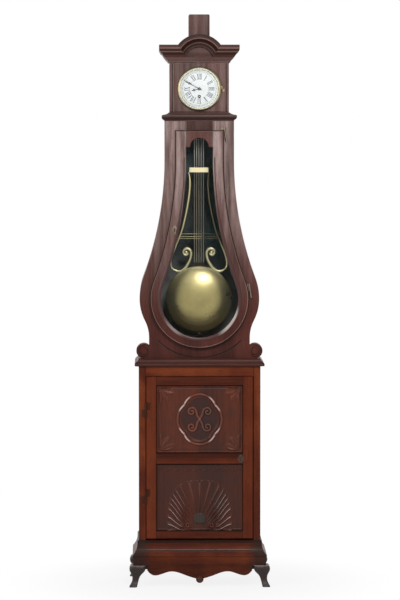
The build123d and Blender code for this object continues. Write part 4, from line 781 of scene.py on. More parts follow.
# %% Lyre and bezel
def lyre_finish(name):
    """Brass with painted shade on the right arm above the scrolls, and greyer and greener low down."""
    graph = Graph(name)
    z = graph.axis("Z")
    cloud = graph.noise(9.0, 5, 0.62).step(0.35, 0.70)
    bright = graph.mix(cloud * 0.4, (0.660, 0.580, 0.320), (0.300, 0.260, 0.130))
    green = graph.mix((1 - z.step(1.42, 1.56)) * 0.75, bright, (0.330, 0.320, 0.200))
    # painted shade on the right arm above the scrolls
    darkened = graph.axis("X").step(0.0, 0.02) * z.step(1.40, 1.46)
    graph.set(
        Base_Color=graph.mix(darkened * 0.88, green, (0.060, 0.056, 0.040)),
        Metallic=1.0,
        Roughness=0.30 + cloud * 0.12,
    )
    return graph.material


def bezel_finish(name):
    """Pale plating with a painted gold reflection at both sides."""
    graph = Graph(name)
    cloud = graph.noise(20.0, 4, 0.6)
    # a painted gold reflection at both sides
    highlighted = abs(graph.axis("X")).step(0.080, 0.089) * (cloud * 0.8 + 0.35).clamp()
    graph.set(
        Base_Color=graph.mix(highlighted, (0.360, 0.345, 0.260), (0.360, 0.240, 0.110)),
        Metallic=1.0,
        Roughness=0.30 + cloud * 0.15,
    )
    return graph.material


lyre_brass = lyre_finish("lyre_brass")
bezel_plating = bezel_finish("bezel_plating")
METALWORK = (
    (aged_brass, "bezel_hinge_post movement_plates barrel centre_arbor hour_wheel minute_wheel"),
    (aged_brass, "third_wheel escape_wheel suspension_cock rating_nut"),
    (dark_brass, "trunk_escutcheon trunk_hinge_posts trunk_hinge_sleeves"),
    (bar_brass, "pendulum_crossbar"),
    (bob_brass, "bob"),
    (rod_brass, "pendulum_rods"),
    (lyre_brass, "lyre"),
    (bezel_plating, "bezel"),
    (steel, "winding_arbor anchor"),
    (blued, "hour_hand minute_hand"),
    (iron, "cabinet_escutcheon cabinet_lock_case cabinet_bolt cabinet_key trunk_key"),
    (stained_iron, "cabinet_hinge_posts cabinet_hinge_sleeves"),
)
for metal, parts in METALWORK:
    dress(parts, metal)
print("metal parts dressed", sum(len(parts.split()) for metal, parts in METALWORK))

# %% [markdown]
# ## Enamel, paint and glass
# The dial is white enamel, a little uneven, with fired black paint. The panes are old window glass:
# nearly clear, so only a thin share of each pane is there at all, and that share is dark and shiny.

# %% Enamel, paint and glass
def enamel(name):
    graph = Graph(name)
    cloud = graph.noise(30.0, 3, 0.5)
    graph.set(
        Base_Color=graph.mix(cloud, (0.97, 1.0, 0.99), (0.90, 0.98, 0.96)),
        Roughness=0.22 + cloud * 0.08,
        Specular_IOR_Level=1.0,
    )
    return graph.material


def fired_paint(name):
    graph = Graph(name)
    wear_and_highlight = graph.noise(90.0, 3, 0.5)
    colour = graph.mix(wear_and_highlight, (0.070, 0.078, 0.120), (0.150, 0.160, 0.210))
    graph.set(Base_Color=colour, Roughness=0.35)
    return graph.material


def pane(name, share, rough):
    """Old glass: clear but for a small share that is dark and shiny."""
    graph = Graph(name)
    haze = graph.noise(6.0, 3, 0.5)
    graph.set(
        Base_Color=(0.020, 0.026, 0.024, 1),
        Alpha=share + haze * 0.02,
        IOR=1.45,
        Roughness=rough,
    )
    return graph.material


black_paint = fired_paint("black_paint")
dress("dial", enamel("white_enamel"))
dress("trunk_door_glass", pane("window_glass", 0.03, 0.30))
dress("dial_glass", pane("bezel_glass", 0.02, 0.15))
print("materials", len(bpy.data.materials))

# %% [markdown]
# ## Working by hand in code
# Each new piece starts as a primitive and is shaped with edit-mode operators on faces or edges that
# are picked by their place. The operators act on all that is selected, so every helper first lets go
# of what was selected before.

# %% Modelling helpers
NODE_BOX = {}


def box_of(name):
    """The lowest and highest corner of a part of the frame."""
    if name not in NODE_BOX:
        corners = np.array([v.co for v in nodes[name].data.vertices])
        NODE_BOX[name] = Vector(corners.min(axis=0)), Vector(corners.max(axis=0))
    return NODE_BOX[name]


def add_primitive(kind, name, **settings):
    """A primitive on its own: whatever else is selected is let go first."""
    bpy.ops.object.select_all(action="DESELECT")
    getattr(bpy.ops.mesh, f"primitive_{kind}_add")(**settings)
    piece = bpy.context.object
    piece.name = name
    return piece


def pick(piece, kind, test):
    """In edit mode, select the vertices, edges or faces whose middle passes a test."""
    bpy.ops.object.mode_set(mode="EDIT")
    bpy.ops.mesh.select_mode(type=kind)
    bpy.ops.mesh.select_all(action="DESELECT")
    mesh = bmesh.from_edit_mesh(piece.data)
    elements = {"VERT": mesh.verts, "EDGE": mesh.edges, "FACE": mesh.faces}[kind]
    for element in elements:
        if kind == "VERT":
            middle = element.co
        elif kind == "EDGE":
            middle = (element.verts[0].co + element.verts[1].co) / 2
        else:
            middle = element.calc_center_median()
        if test(middle):
            element.select_set(True)
    bmesh.update_edit_mesh(piece.data)


def object_mode():
    bpy.ops.object.mode_set(mode="OBJECT")


def edit_all():
    """Edit mode, with the whole mesh selected."""
    bpy.ops.object.mode_set(mode="EDIT")
    bpy.ops.mesh.select_all(action="SELECT")


def only(*pieces):
    """Select these pieces alone; the first is the active one."""
    bpy.ops.object.select_all(action="DESELECT")
    for piece in pieces:
        piece.select_set(True)
    bpy.context.view_layer.objects.active = pieces[0]


base_of_door, top_of_door = box_of("cabinet_door_frame")
print("cabinet door", [round(v, 3) for v in top_of_door - base_of_door])

# %% [markdown]
# A finished piece has its place in its mesh and its object at the origin, as the parts of the frame
# have. Pairs are modelled once and mirrored, and the last helper gives a piece its finish, the body
# that carries it and the parts of the frame that it stands in for.

# %% Joining, mirroring and handing over
def joined(pieces, name):
    only(*pieces)
    bpy.ops.object.join()
    bpy.context.object.name = name
    return bpy.context.object


def settle(piece):
    """Write place, turn and scale into the mesh."""
    only(piece)
    bpy.ops.object.transform_apply(location=True, rotation=True, scale=True)


def outwards(piece):
    only(piece)
    edit_all()
    bpy.ops.mesh.normals_make_consistent(inside=False)
    object_mode()


def mirrored(piece, name):
    """A copy on the other side of the clock, with its own mesh and its faces put right."""
    only(piece)
    bpy.ops.object.duplicate()
    copy = bpy.context.object
    copy.name = name
    copy.scale.x = -1
    settle(copy)
    outwards(copy)
    return copy


def hand_over(piece, body, material, replaces=(), angle=40):
    """Dress a finished piece and give it to the body that carries it."""
    settle(piece)
    piece.data.materials.clear()
    piece.data.materials.append(material)
    bpy.ops.object.shade_smooth_by_angle(angle=math.radians(angle))
    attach(piece, body)
    if replaces:
        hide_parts(*replaces)
    return piece


print("helpers ready for", len(nodes), "parts")

# %% [markdown]
# ## Rods, ribbons and scrolls
# Wire, scrolls and thin beads are all a section drawn along a line. A curve with a bevel does that:
# its points are few, the automatic handles round it off, and each point has its own thickness. It is
# made a mesh at once, and may be flattened from a rod to a ribbon.

# %% Strands
def strand(name, path, widths, y, flat=1.0, steps=6, ring=2, closed=False, bend="AUTO"):
    """A rod along points (x, z) of the upright plane y; half widths per point, or one for all."""
    bpy.ops.object.select_all(action="DESELECT")
    bpy.ops.curve.primitive_bezier_curve_add(location=(0, y, 0))
    drawn = bpy.context.object
    drawn.name = name
    curve = drawn.data
    curve.splines.clear()
    line = curve.splines.new("BEZIER")
    line.bezier_points.add(len(path) - 1)
    line.use_cyclic_u = closed
    if not hasattr(widths, "__len__"):
        widths = [widths] * len(path)
    for point, (x, z), width in zip(line.bezier_points, path, widths):
        point.co = (x, 0, z)
        point.handle_left_type = point.handle_right_type = bend
        point.radius = width
    curve.resolution_u = steps
    curve.bevel_depth = 1.0
    curve.bevel_resolution = ring
    curve.use_fill_caps = not closed
    bpy.ops.object.convert(target="MESH")
    drawn = bpy.context.object
    drawn.scale.y = flat
    settle(drawn)
    return drawn


def taper(first, last, count):
    return [first + (last - first) * i / (count - 1) for i in range(count)]


def spiral(centre, outer, inner, start, turns, count):
    """Points of a curl from its outer radius inwards; the angle counts up anticlockwise."""
    angles = taper(start, start + turns * math.tau, count)
    places = zip(taper(outer, inner, count), angles)
    return [(centre[0] + r * math.cos(a), centre[1] + r * math.sin(a)) for r, a in places]


print("a spiral of", len(spiral((0, 0), 0.02, 0.002, 0, 1.5, 12)), "points")

# %% [markdown]
# ## Carved panels
# The two door panels are carved in low relief: above, a moulded quatrefoil with four tendrils and
# a leaf in each corner; below, a ribbed shell that opens from a bud. Carving is a height over a
# flat board, so a fine grid is pushed in and out by a formula. The distance to a lobed outline gives
# the moulding, the distance to a spiral gives a tendril, and an angle gives the ribs of the shell.

# %% Relief formulas
def roll(distance, middle, half, height):
    """A half-round moulding that follows a line of equal distance."""
    across = (distance - middle) / half
    return height * np.sqrt(np.clip(1 - across**2, 0, None))


def ease(value, low, high):
    share = np.clip((value - low) / (high - low), 0, 1)
    return share * share * (3 - 2 * share)


def to_path(x, z, path):
    """Distance from every point to a line of points, and how far along it the nearest one is."""
    best = np.full(x.shape, 1e9)
    along = np.zeros(x.shape)
    for i in range(len(path) - 1):
        (ax, az), (bx, bz) = path[i], path[i + 1]
        dx, dz = bx - ax, bz - az
        share = np.clip(((x - ax) * dx + (z - az) * dz) / (dx * dx + dz * dz), 0, 1)
        distance = np.hypot(x - ax - share * dx, z - az - share * dz)
        nearer = distance < best
        best = np.where(nearer, distance, best)
        along = np.where(nearer, (i + share) / (len(path) - 1), along)
    return best, along


BORDER_BEAD = (0.0045, 0.0032, 0.0022)  # every roll: middle, half width and height
BORDER_QUIRK = (0.0100, 0.0016, 0.0012)


def sunk_border(x, z, half_x, half_z):
    """A bead and a quirk just inside the edge of the panel."""
    edge = np.minimum(half_x - np.abs(x), half_z - np.abs(z))
    return roll(edge, *BORDER_BEAD) - roll(edge, *BORDER_QUIRK)


print("a roll of 1 is", round(float(roll(0.5, 0, 1, 1)), 3), "high halfway out")

# %% [markdown]
# The upper panel's moulding follows the distance to four lobes: two round ones at the sides and two
# narrower ones above and below. Because that distance is known everywhere, the moulding, its quirk
# and the sunk middle are three rolls at different distances. The tendril is drawn once, and the
# absolute values of x and z repeat it in all four quarters.

# %% Quatrefoil
MEDALLION = (0.095, 0.108)
MEDALLION_ROLL = (-0.0025, 0.0062, 0.0062)
MEDALLION_QUIRK = (-0.0120, 0.0022, 0.0020)
# where the rim carries its painted highlight
MEDALLION_HIGHLIGHT = (-0.0015, 0.0034, 1.2)
BOSS = (0, 0.0075, 0.0050)
SIDE_LOBE = 0.080
UPRIGHT_LOBE = 0.071
TENDRIL_AT = (0.033, 0.032)
TENDRIL_CURL = (0.0190, 0.0035, math.radians(175), -1.35, 26)
TENDRIL_STEM = [(0.0, 0.0), (0.010, 0.016), (0.0135, 0.030)]
TENDRIL_HALF, TENDRIL_TAPER, TENDRIL_TALL = 0.0072, 0.0026, 0.0056
TENDRIL_EYE = (0, 0.0036, 0.0045)
LEAF_MARGIN = 0.012
LEAF_REACH = 0.070
LEAF_RIBS = 7


def quatrefoil_distance(x, z):
    """Distance to the lobed outline, less than nothing inside it."""
    side = np.hypot(np.abs(x) - (MEDALLION[0] - SIDE_LOBE), z) - SIDE_LOBE
    upright = np.hypot(x, np.abs(z) - (MEDALLION[1] - UPRIGHT_LOBE)) - UPRIGHT_LOBE
    return np.minimum(side, upright)


def corner_leaf(x, z, half_x, half_z):
    """Ribs that open from each corner of the panel towards the middle."""
    across, down = half_x - LEAF_MARGIN - np.abs(x), half_z - LEAF_MARGIN - np.abs(z)
    radius = np.hypot(across, down)
    angle = np.arctan2(down, across) / (math.pi / 2)
    inside = (across > 0) & (down > 0)
    lobes = np.abs(np.cos(angle * math.pi * LEAF_RIBS / 2))
    reach = LEAF_REACH * (0.66 + 0.34 * np.abs(np.sin(angle * math.pi * 2.5)))
    envelope = ease(radius, 0.004, 0.020) * (1 - ease(radius, reach - 0.012, reach))
    return inside * envelope * (0.0012 + 0.0030 * lobes)


def upper_carving(x, z, half_x, half_z):
    """Height of the upper panel, and where its painted highlight lies."""
    outline = quatrefoil_distance(x, z)
    height = sunk_border(x, z, half_x, half_z)
    height += (outline > 0) * corner_leaf(x, z, half_x, half_z)
    height += roll(outline, *MEDALLION_ROLL) + roll(outline, *MEDALLION_QUIRK)
    height -= 0.0022 * (1 - ease(outline, -0.0220, -0.0150))
    turned_x, turned_z = np.abs(x), np.abs(z)
    curl = spiral(TENDRIL_AT, *TENDRIL_CURL)
    tendril, along = to_path(turned_x, turned_z, TENDRIL_STEM + curl)
    height += roll(tendril, 0, TENDRIL_HALF - TENDRIL_TAPER * along, TENDRIL_TALL)
    height += roll(np.hypot(turned_x - TENDRIL_AT[0], turned_z - TENDRIL_AT[1]), *TENDRIL_EYE)
    height += roll(np.hypot(x, z), *BOSS)
    # painted highlight on the rim at the diagonals and on the tendrils
    diagonal = np.abs(np.sin(2 * np.arctan2(x, z)))
    rub = roll(outline, *MEDALLION_HIGHLIGHT) * ease(diagonal, 0.62, 0.90)
    rub *= 1 - 0.60 * ease(diagonal, 0.990, 1.0)
    return height, rub + 0.10 * roll(tendril, 0, 0.0030, 1.0)


print("quatrefoil", 2 * MEDALLION[0], "by", 2 * MEDALLION[1], "m")

# %% [markdown]
# The shell of the lower panel opens from a bud. An angle counts its ribs, which sweep outwards to
# the rim, and a curve between an ellipse and a rectangle gives the rim its full shoulders. Two
# curls lie on each side of the bud, and a row of swags hangs from the top edge.

# %% Shell
SHELL_FOOT = -0.138
SHELL_HALF = 0.141
SHELL_TALL = 0.214
SHELL_POWER = 3
RIB_STEP = math.radians(9.6)
RIB_BEND = 0.30
RIB_SWEEP = math.radians(32)
SHELL_ANGLE = math.radians(93)  # from straight up to the foot of the shell
# the ribs carry their painted highlight between these angles
HIGHLIGHT_FROM = (math.radians(24), math.radians(40))
HIGHLIGHT_TO = (math.radians(88), SHELL_ANGLE)
BUD_AT = -0.092
BUD = (0.026, 0.027)
BUD_CUT = 0.016  # the bud ends this far below its middle
BUD_EDGE = 0.12
BUD_VEIN = (0.0, 0.0016, 0.0018)
BUD_SIDE_VEIN = (0.0125, 0.0013, 0.0014)
CURLS = ((0.048, 0.0125), (0.078, 0.0095))
CURL_LEVEL = -0.119
CURL_TURN = (0.002, math.radians(200), -1.3, 22)
CURL_ROLL = (0, 0.0030, 0.0052)
SWAG_STEP = 0.0400
SWAG_SAG = 0.012
SWAG_TOP = 0.016
SWAG_MARGIN = 0.012
SWAG_ROLL = (0, 0.0026, 0.0028)


def lower_carving(x, z, half_x, half_z):
    """Height of the lower panel, and where its painted highlight lies; the bud is marked with -0.85.
    """
    height = sunk_border(x, z, half_x, half_z)
    wide, up = np.abs(x), z - SHELL_FOOT
    radius = np.hypot(x, up)
    angle = np.arctan2(wide, up)
    side, rise = np.abs(np.sin(angle)) / SHELL_HALF, np.abs(np.cos(angle)) / SHELL_TALL
    rim = (side**SHELL_POWER + rise**SHELL_POWER) ** (-1 / SHELL_POWER)
    swept = angle + RIB_SWEEP * ease(radius / rim, 0.25, 1.0) * ease(angle, 0.35, 1.0)
    phase = swept / (1 + RIB_BEND * radius / rim) / RIB_STEP
    ridge = np.abs(phase - np.floor(phase) - 0.5) * 2
    share = radius / (rim * (0.955 + 0.045 * np.sqrt(np.clip(1 - ridge**4, 0, 1))))
    body = ease(share, 0.12, 0.55) * (1 - ease(share, 0.96, 1.0)) * (angle < SHELL_ANGLE)
    height += body * (0.0010 + 0.0060 * ridge**3)
    # painted highlight on the outer ridges of the flanks, brighter on the right
    outer = ease(share, 0.50, 0.72) * (1 - ease(share, 0.93, 0.99))
    flank = ease(angle, *HIGHLIGHT_FROM) * (1 - ease(angle, *HIGHLIGHT_TO))
    rub = outer * flank * ease(ridge, 0.84, 0.98) * np.where(x > 0, 1.25, 1.05)
    bud = (wide / BUD[0]) ** 2 + ((z - BUD_AT) / BUD[1]) ** 2
    dome = np.where(z > BUD_AT - BUD_CUT, np.sqrt(np.clip(1 - bud, 0, None)), 0)
    in_bud = dome > BUD_EDGE
    height = np.where(in_bud, 0.0020 + 0.0048 * dome, height)
    height -= in_bud * (roll(wide, *BUD_VEIN) + roll(wide, *BUD_SIDE_VEIN))
    for middle, reach in CURLS:
        curl = spiral((middle, CURL_LEVEL), reach, *CURL_TURN)
        height = np.maximum(height, roll(to_path(wide, z, curl)[0], *CURL_ROLL))
    swag = (wide % SWAG_STEP) / SWAG_STEP - 0.5
    sag = half_z - SWAG_TOP - SWAG_SAG * (1 - 4 * swag**2)
    swags = roll(z - sag, *SWAG_ROLL) * (wide < half_x - SWAG_MARGIN)
    return np.maximum(height, swags), np.where(in_bud, -0.85, rub)


print("ribs to a side", round(math.radians(83) / RIB_STEP, 1))

# %% [markdown]
# To cut a panel, a plain grid stands in for its front, its outer edge is extruded back into a board,
# and the carving moves the front's points. The board's edge stays in the groove of the door frame
# and isn't carved. The height and where the painted highlight lies are stored on the points for the
# finish to read.

# %% Cut the panels
RELIEF_STEP = 0.00125
RELIEF_FRONT = -0.119
RELIEF_GROUND, RELIEF_FULL = 0.35, 0.009
SIGHT = 0.0075  # how far a panel reaches into its groove on every side


def store(mesh, name, front, values, lowest):
    """Keep one number for each point of the front, and nought for the others."""
    numbers = np.zeros(len(mesh.vertices), dtype=np.float32)
    numbers[front] = np.clip(values, lowest, 1)
    mesh.attributes.new(name, "FLOAT", "POINT").data.foreach_set("value", numbers)


def carved_panel(name, node, carving, material):
    """A board of the panel's size whose front is a fine grid, pushed out by the carving."""
    low, high = box_of(node)
    width, tall = high.x - low.x, high.z - low.z
    middle = ((low.x + high.x) / 2, RELIEF_FRONT, (low.z + high.z) / 2)
    panel = add_primitive(
        "grid", name, x_subdivisions=int(width / RELIEF_STEP), y_subdivisions=int(tall / RELIEF_STEP),
        size=1, location=middle, rotation=(math.radians(90), 0, 0),
    )
    panel.scale = (width, tall, 1)
    settle(panel)
    edit_all()
    bpy.ops.mesh.region_to_loop()
    bpy.ops.mesh.extrude_edges_move(TRANSFORM_OT_translate={"value": (0, high.y - RELIEF_FRONT, 0)})
    bpy.ops.mesh.edge_face_add()
    object_mode()
    outwards(panel)
    mesh = panel.data
    places = np.empty(len(mesh.vertices) * 3)
    mesh.vertices.foreach_get("co", places)
    places = places.reshape(-1, 3)
    front = places[:, 1] < RELIEF_FRONT + 1e-5
    x, z = places[front, 0] - middle[0], places[front, 2] - middle[2]
    half_x, half_z = width / 2 - SIGHT, tall / 2 - SIGHT
    in_sight = (np.abs(x) < half_x) & (np.abs(z) < half_z)
    heights, rub = carving(x, z, half_x, half_z)
    heights = heights * in_sight
    places[front, 1] -= heights
    mesh.vertices.foreach_set("co", places.ravel())
    store(mesh, "relief", front, RELIEF_GROUND + heights / RELIEF_FULL, 0)
    store(mesh, "rub", front, rub * in_sight, -1)
    mesh.update()
    hand_over(panel, "cabinet_door", material, [node], angle=60)
    print(name, len(mesh.polygons), "faces, height", round(float(heights.max()), 4))


carved_panel("quatrefoil_panel", "upper_panel", upper_carving, carved_wood)
carved_panel("shell_panel", "lower_panel", lower_carving, shell_wood)

# %% [markdown]
# ## Lyre
# Two brass ribbons leave the crossbar, swing out behind the door's edge and curl back into a scroll
# over the bob. They are cut from sheet and a little rounded, so a rod along the line is flattened.
# Three thin stays tie the two arms together.

# %% Lyre arms and scrolls
LYRE_Y = 0.5 * (box_of("lyre")[0].y + box_of("lyre")[1].y)
CROSSBAR_FOOT = box_of("pendulum_crossbar")[0].z
ARM = (
    (0.0440, 0.000, 0.0020), (0.0400, -0.018, 0.0046), (0.0385, -0.045, 0.0068),
    (0.0410, -0.085, 0.0074), (0.0480, -0.135, 0.0070), (0.0590, -0.190, 0.0060),
    (0.0730, -0.245, 0.0052), (0.0960, -0.305, 0.0050), (0.1130, -0.350, 0.0050),
    (0.1200, -0.385, 0.0048), (0.1150, -0.406, 0.0046), (0.1060, -0.4130, 0.0040),
)  # out from the middle, down from the crossbar, half width
TAIL = (
    (0.1150, -0.4060, 0.0034), (0.1030, -0.4145, 0.0050), (0.0870, -0.4190, 0.0062),
    (0.0700, -0.4130, 0.0072), (0.0510, -0.3920, 0.0076), (0.0365, -0.3620, 0.0076),
)
SCROLL = (0.0540, -0.3395)
SCROLL_CURL = (0.0195, 0.0060, math.radians(165), -0.95, 12)  # radii, start, turns, points
SCROLL_PROUD = 0.0006  # the tail lies this far before the ribbon
EYE_RADIUS, EYE_PROUD = 0.0075, 0.0004
RIBBON_FLAT, SCROLL_FLAT = 0.40, 0.42
STAY_HALF, STAY_PROUD = 0.0011, 0.0022
STAYS = ((0.260, 0.073), (0.272, 0.078), (0.280, 0.081))  # below the crossbar, half length


def lyre_arm():
    """The right arm: the long ribbon, and the tail that winds into the scroll."""
    long_path = [(x, CROSSBAR_FOOT + z) for x, z, w in ARM]
    ribbon = strand("arm", long_path, [w for x, z, w in ARM], LYRE_Y, flat=RIBBON_FLAT)
    centre = (SCROLL[0], CROSSBAR_FOOT + SCROLL[1])
    curl = spiral(centre, *SCROLL_CURL)
    tail_path = [(x, CROSSBAR_FOOT + z) for x, z, w in TAIL] + curl
    tail_widths = [w for x, z, w in TAIL] + taper(0.0078, 0.0052, len(curl))
    tail = strand("tail", tail_path, tail_widths, LYRE_Y - SCROLL_PROUD, flat=SCROLL_FLAT)
    eye = add_primitive(
        "uv_sphere", "eye", segments=20, ring_count=10, radius=EYE_RADIUS,
        location=(centre[0], LYRE_Y - EYE_PROUD, centre[1]),
    )
    eye.scale.y = SCROLL_FLAT
    settle(eye)
    return joined([ribbon, tail, eye], "lyre_right")


def stay(drop, half):
    """A thin wire from arm to arm, in front of them."""
    level = CROSSBAR_FOOT - drop
    ends = [(x, level) for x in (-half, -half / 2, half / 2, half)]
    return strand("stay", ends, STAY_HALF, LYRE_Y - STAY_PROUD)


right_arm = lyre_arm()
left_arm = mirrored(right_arm, "lyre_left")
lyre = joined([right_arm, left_arm, *[stay(*place) for place in STAYS]], "lyre_scrolls")
hand_over(lyre, "pendulum", lyre_brass, ["lyre"], angle=50)
print("lyre", len(lyre.data.polygons), "faces")

# %% [markdown]
# ## Scroll ears
# Where the trunk narrows, two small volutes fill the corners over the waist moulding. The block
# behind them is a plain part of the frame; the turn of the scroll is a tapered ridge laid on it.

# %% Volutes
EAR_MIDDLE = (0.234, 0.989)
EAR_FACE = box_of("scroll_ears")[0].y + 0.006
EAR_CURL = (0.0275, 0.0070, math.radians(95), -1.75, 20)
ear_turn = spiral(EAR_MIDDLE, *EAR_CURL)
right_ear = strand("ear_right", ear_turn, taper(0.0040, 0.0026, len(ear_turn)), EAR_FACE)
volutes = joined([right_ear, mirrored(right_ear, "ear_left")], "ear_volutes")
hand_over(volutes, "case", trunk_wood, angle=60)
print("volutes", len(volutes.data.polygons), "faces")

# %% [markdown]
# ## Feet
# Short cabriole feet: a square knee under the corner of the plinth, a narrow ankle and a toe that
# kicks out. A square is extruded level by level, resized and shifted at each, and a Subdivision
# Surface rounds its corners and its steps. One foot of each pair is modelled and then mirrored.

# %% Cabriole feet
FOOT_LEVELS = (
    (0.0920, 0.0350, 0.063), (0.0870, 0.0385, 0.067), (0.0770, 0.0410, 0.069), (0.0670, 0.0390, 0.064),
    (0.0590, 0.0340, 0.051), (0.0490, 0.0290, 0.035), (0.0350, 0.0270, 0.027), (0.0200, 0.0305, 0.027),
    (0.0080, 0.0380, 0.031), (0.0025, 0.0412, 0.034), (0.0000, 0.0400, 0.030),
)  # height, how far it stands out, size
CABINET_HALF = box_of("cabinet_sides")[1].x
CABINET_FACE = box_of("cabinet_front_frame")[0].y
BACK = box_of("rear_feet")[1].y


def foot_place(reach, size, front):
    """Middle of the foot at one level."""
    y = CABINET_FACE - reach + size / 2 if front else BACK - size / 2
    return CABINET_HALF + reach - size / 2, y


def cabriole_foot(name, front):
    height, reach, size = FOOT_LEVELS[0]
    foot = add_primitive("plane", name, size=size, location=(*foot_place(reach, size, front), height))
    settle(foot)
    edit_all()
    bpy.ops.mesh.subdivide(number_cuts=2)
    object_mode()
    for before, after in zip(FOOT_LEVELS, FOOT_LEVELS[1:]):
        was, now = foot_place(*before[1:], front), foot_place(*after[1:], front)
        step = (now[0] - was[0], now[1] - was[1], after[0] - before[0])
        growth = after[2] / before[2]
        pick(foot, "FACE", lambda middle: abs(middle.z - before[0]) < 1e-4)
        bpy.ops.mesh.extrude_region_move(TRANSFORM_OT_translate={"value": step})
        bpy.ops.transform.resize(value=(growth, growth, 1))
        object_mode()
    outwards(foot)
    pick(foot, "EDGE", lambda middle: middle.z > height - 1e-5)
    bpy.ops.transform.edge_crease(value=1)
    object_mode()
    soft = foot.modifiers.new("soft", "SUBSURF")
    soft.levels = soft.render_levels = 2
    bpy.ops.object.modifier_apply(modifier="soft")
    return foot


KNEE_AT = (CABINET_HALF + 0.012, 0.0745)
KNEE_FACE = CABINET_FACE - 0.0385
KNEE_CURL = (0.0130, 0.0030, math.radians(80), -1.4, 14)
knee_turn = spiral(KNEE_AT, *KNEE_CURL)
knee = strand("knee", knee_turn, taper(0.0030, 0.0020, len(knee_turn)), KNEE_FACE, flat=0.6)
front_right = joined([cabriole_foot("foot", True), knee], "foot_right")
front_feet = joined([front_right, mirrored(front_right, "foot_left")], "cabriole_front_feet")
hand_over(front_feet, "case", foot_wood, ["front_feet"], angle=50)
rear_right = cabriole_foot("rear_foot", False)
rear_feet = joined([rear_right, mirrored(rear_right, "rear_left")], "cabriole_rear_feet")
hand_over(rear_feet, "case", foot_wood, ["rear_feet"], angle=50)
print("feet reach", round(box_of("front_feet")[1].x, 4), "faces", len(front_feet.data.polygons))

# %% [markdown]
# Where the apron's end meets the foot, a small block is glued behind the joint and closes it. It is
# a cube whose lower edges are bevelled.

# %% Corner blocks
APRON_LOW, APRON_HIGH = box_of("apron_front")
APRON_THICK = 0.024
BLOCK_WIDE, BLOCK_DEEP, BLOCK_TALL = 0.026, 0.030, 0.019
BLOCK_MIDDLE = (
    APRON_HIGH.x + 0.003, APRON_LOW.y + APRON_THICK + BLOCK_DEEP / 2,
    FOOT_LEVELS[0][0] - 0.001 - BLOCK_TALL / 2,
)
BLOCK_SOFT = 0.0020

block_right = add_primitive("cube", "block", size=1, location=BLOCK_MIDDLE)
block_right.scale = (BLOCK_WIDE, BLOCK_DEEP, BLOCK_TALL)
settle(block_right)
pick(block_right, "EDGE", lambda middle: middle.z < BLOCK_MIDDLE[2] - BLOCK_TALL / 2 + 1e-4)
bpy.ops.mesh.bevel(offset=BLOCK_SOFT, segments=2)
object_mode()
blocks = joined([block_right, mirrored(block_right, "block_left")], "corner_blocks")
hand_over(blocks, "case", foot_wood)
print("corner blocks", len(blocks.data.polygons), "faces")

# %% [markdown]
# ## Apron carving
# A round drop hangs in the middle of the apron. It carries three leaves, each a tapered ridge.

# %% Leaves on the drop
DROP_AT = 0.032
LEAF_LEANS = (-50, 0, 50)
LEAF_LONG = 0.014
LEAF_WIDTHS = (0.0012, 0.0040, 0.0008)
leaves = []
for lean in LEAF_LEANS:
    sine, cosine = math.sin(math.radians(lean)), math.cos(math.radians(lean))
    root = (0, DROP_AT - 0.012)
    middle = (sine * 0.006, DROP_AT - 0.004 + cosine * 0.008)
    tip = (sine * LEAF_LONG, DROP_AT + cosine * LEAF_LONG)
    leaves.append(strand("leaf", [root, middle, tip], LEAF_WIDTHS, APRON_LOW.y, flat=0.6))
hand_over(joined(leaves, "apron_leaves"), "case", foot_wood, angle=60)
print("leaves", len(leaves))

# %% [markdown]
# ## Dial
# The enamel dial has black Roman numerals, a minute track of two rings with sixty marks, and a
# brass grommet in the winding hole. Painted marks are thin boxes that stand a hair over the enamel.

# %% Strokes of the numerals
DIAL_MIDDLE = (0.0, 2.087)
DIAL_FACE = box_of("dial")[0].y
PAINT = 0.0004
NUMERAL_INNER, NUMERAL_OUTER = 0.0395, 0.0625
HOURS = ("XII", "I", "II", "III", "IIII", "V", "VI", "VII", "VIII", "IX", "X", "XI")
THICK, THIN, SERIF = 0.0024, 0.0008, 0.00064
LETTER_WIDTH = {"I": 0.0052, "V": 0.0105, "X": 0.0110}
LETTER_GAP = 0.0045


def bar(across, out, turn, width, tall, clock_turn):
    """One painted stroke of a sign whose middle line points from the dial's centre at clock_turn."""
    sine, cosine = math.sin(clock_turn), math.cos(clock_turn)
    place = (
        DIAL_MIDDLE[0] + across * cosine + out * sine, DIAL_FACE - PAINT / 2,
        DIAL_MIDDLE[1] - across * sine + out * cosine,
    )
    box = add_primitive("cube", "bar", size=1, location=place)
    box.scale = (width, PAINT, tall)
    box.rotation_euler = (0, clock_turn + turn, 0)
    return box


def numeral(sign, hour):
    """Strokes and serifs of one hour, feet towards the middle of the dial."""
    clock_turn = math.tau * hour / 12
    middle = (NUMERAL_INNER + NUMERAL_OUTER) / 2
    tall = NUMERAL_OUTER - NUMERAL_INNER
    total = sum(LETTER_WIDTH[letter] for letter in sign)
    at = -total / 2
    bars = []
    for letter in sign:
        centre = at + LETTER_WIDTH[letter] / 2
        room = LETTER_WIDTH[letter] - LETTER_GAP
        strokes = {
            "I": [(0, 0, THICK)],
            "V": [
                (-room / 4, -math.atan2(room / 2, tall), THICK),
                (room / 4, math.atan2(room / 2, tall), THIN),
            ],
            "X": [(0, -math.atan2(room, tall), THICK), (0, math.atan2(room, tall), THIN)],
        }
        for aside, lean, width in strokes[letter]:
            bars.append(bar(centre + aside, middle, lean, width, tall, clock_turn))
        at += LETTER_WIDTH[letter]
    for edge in (NUMERAL_INNER, NUMERAL_OUTER):
        bars.append(bar(0, edge, 0, total, SERIF, clock_turn))
    return bars


print("height of a numeral", round(NUMERAL_OUTER - NUMERAL_INNER, 4), "m")

# %% [markdown]
# Round the numerals runs the minute track: sixty short strokes, every fifth of them bold, between
# two thin rings. The strokes are bars as before and the rings flattened tori, and all the paint is
# joined, as one coat of paint is one piece.

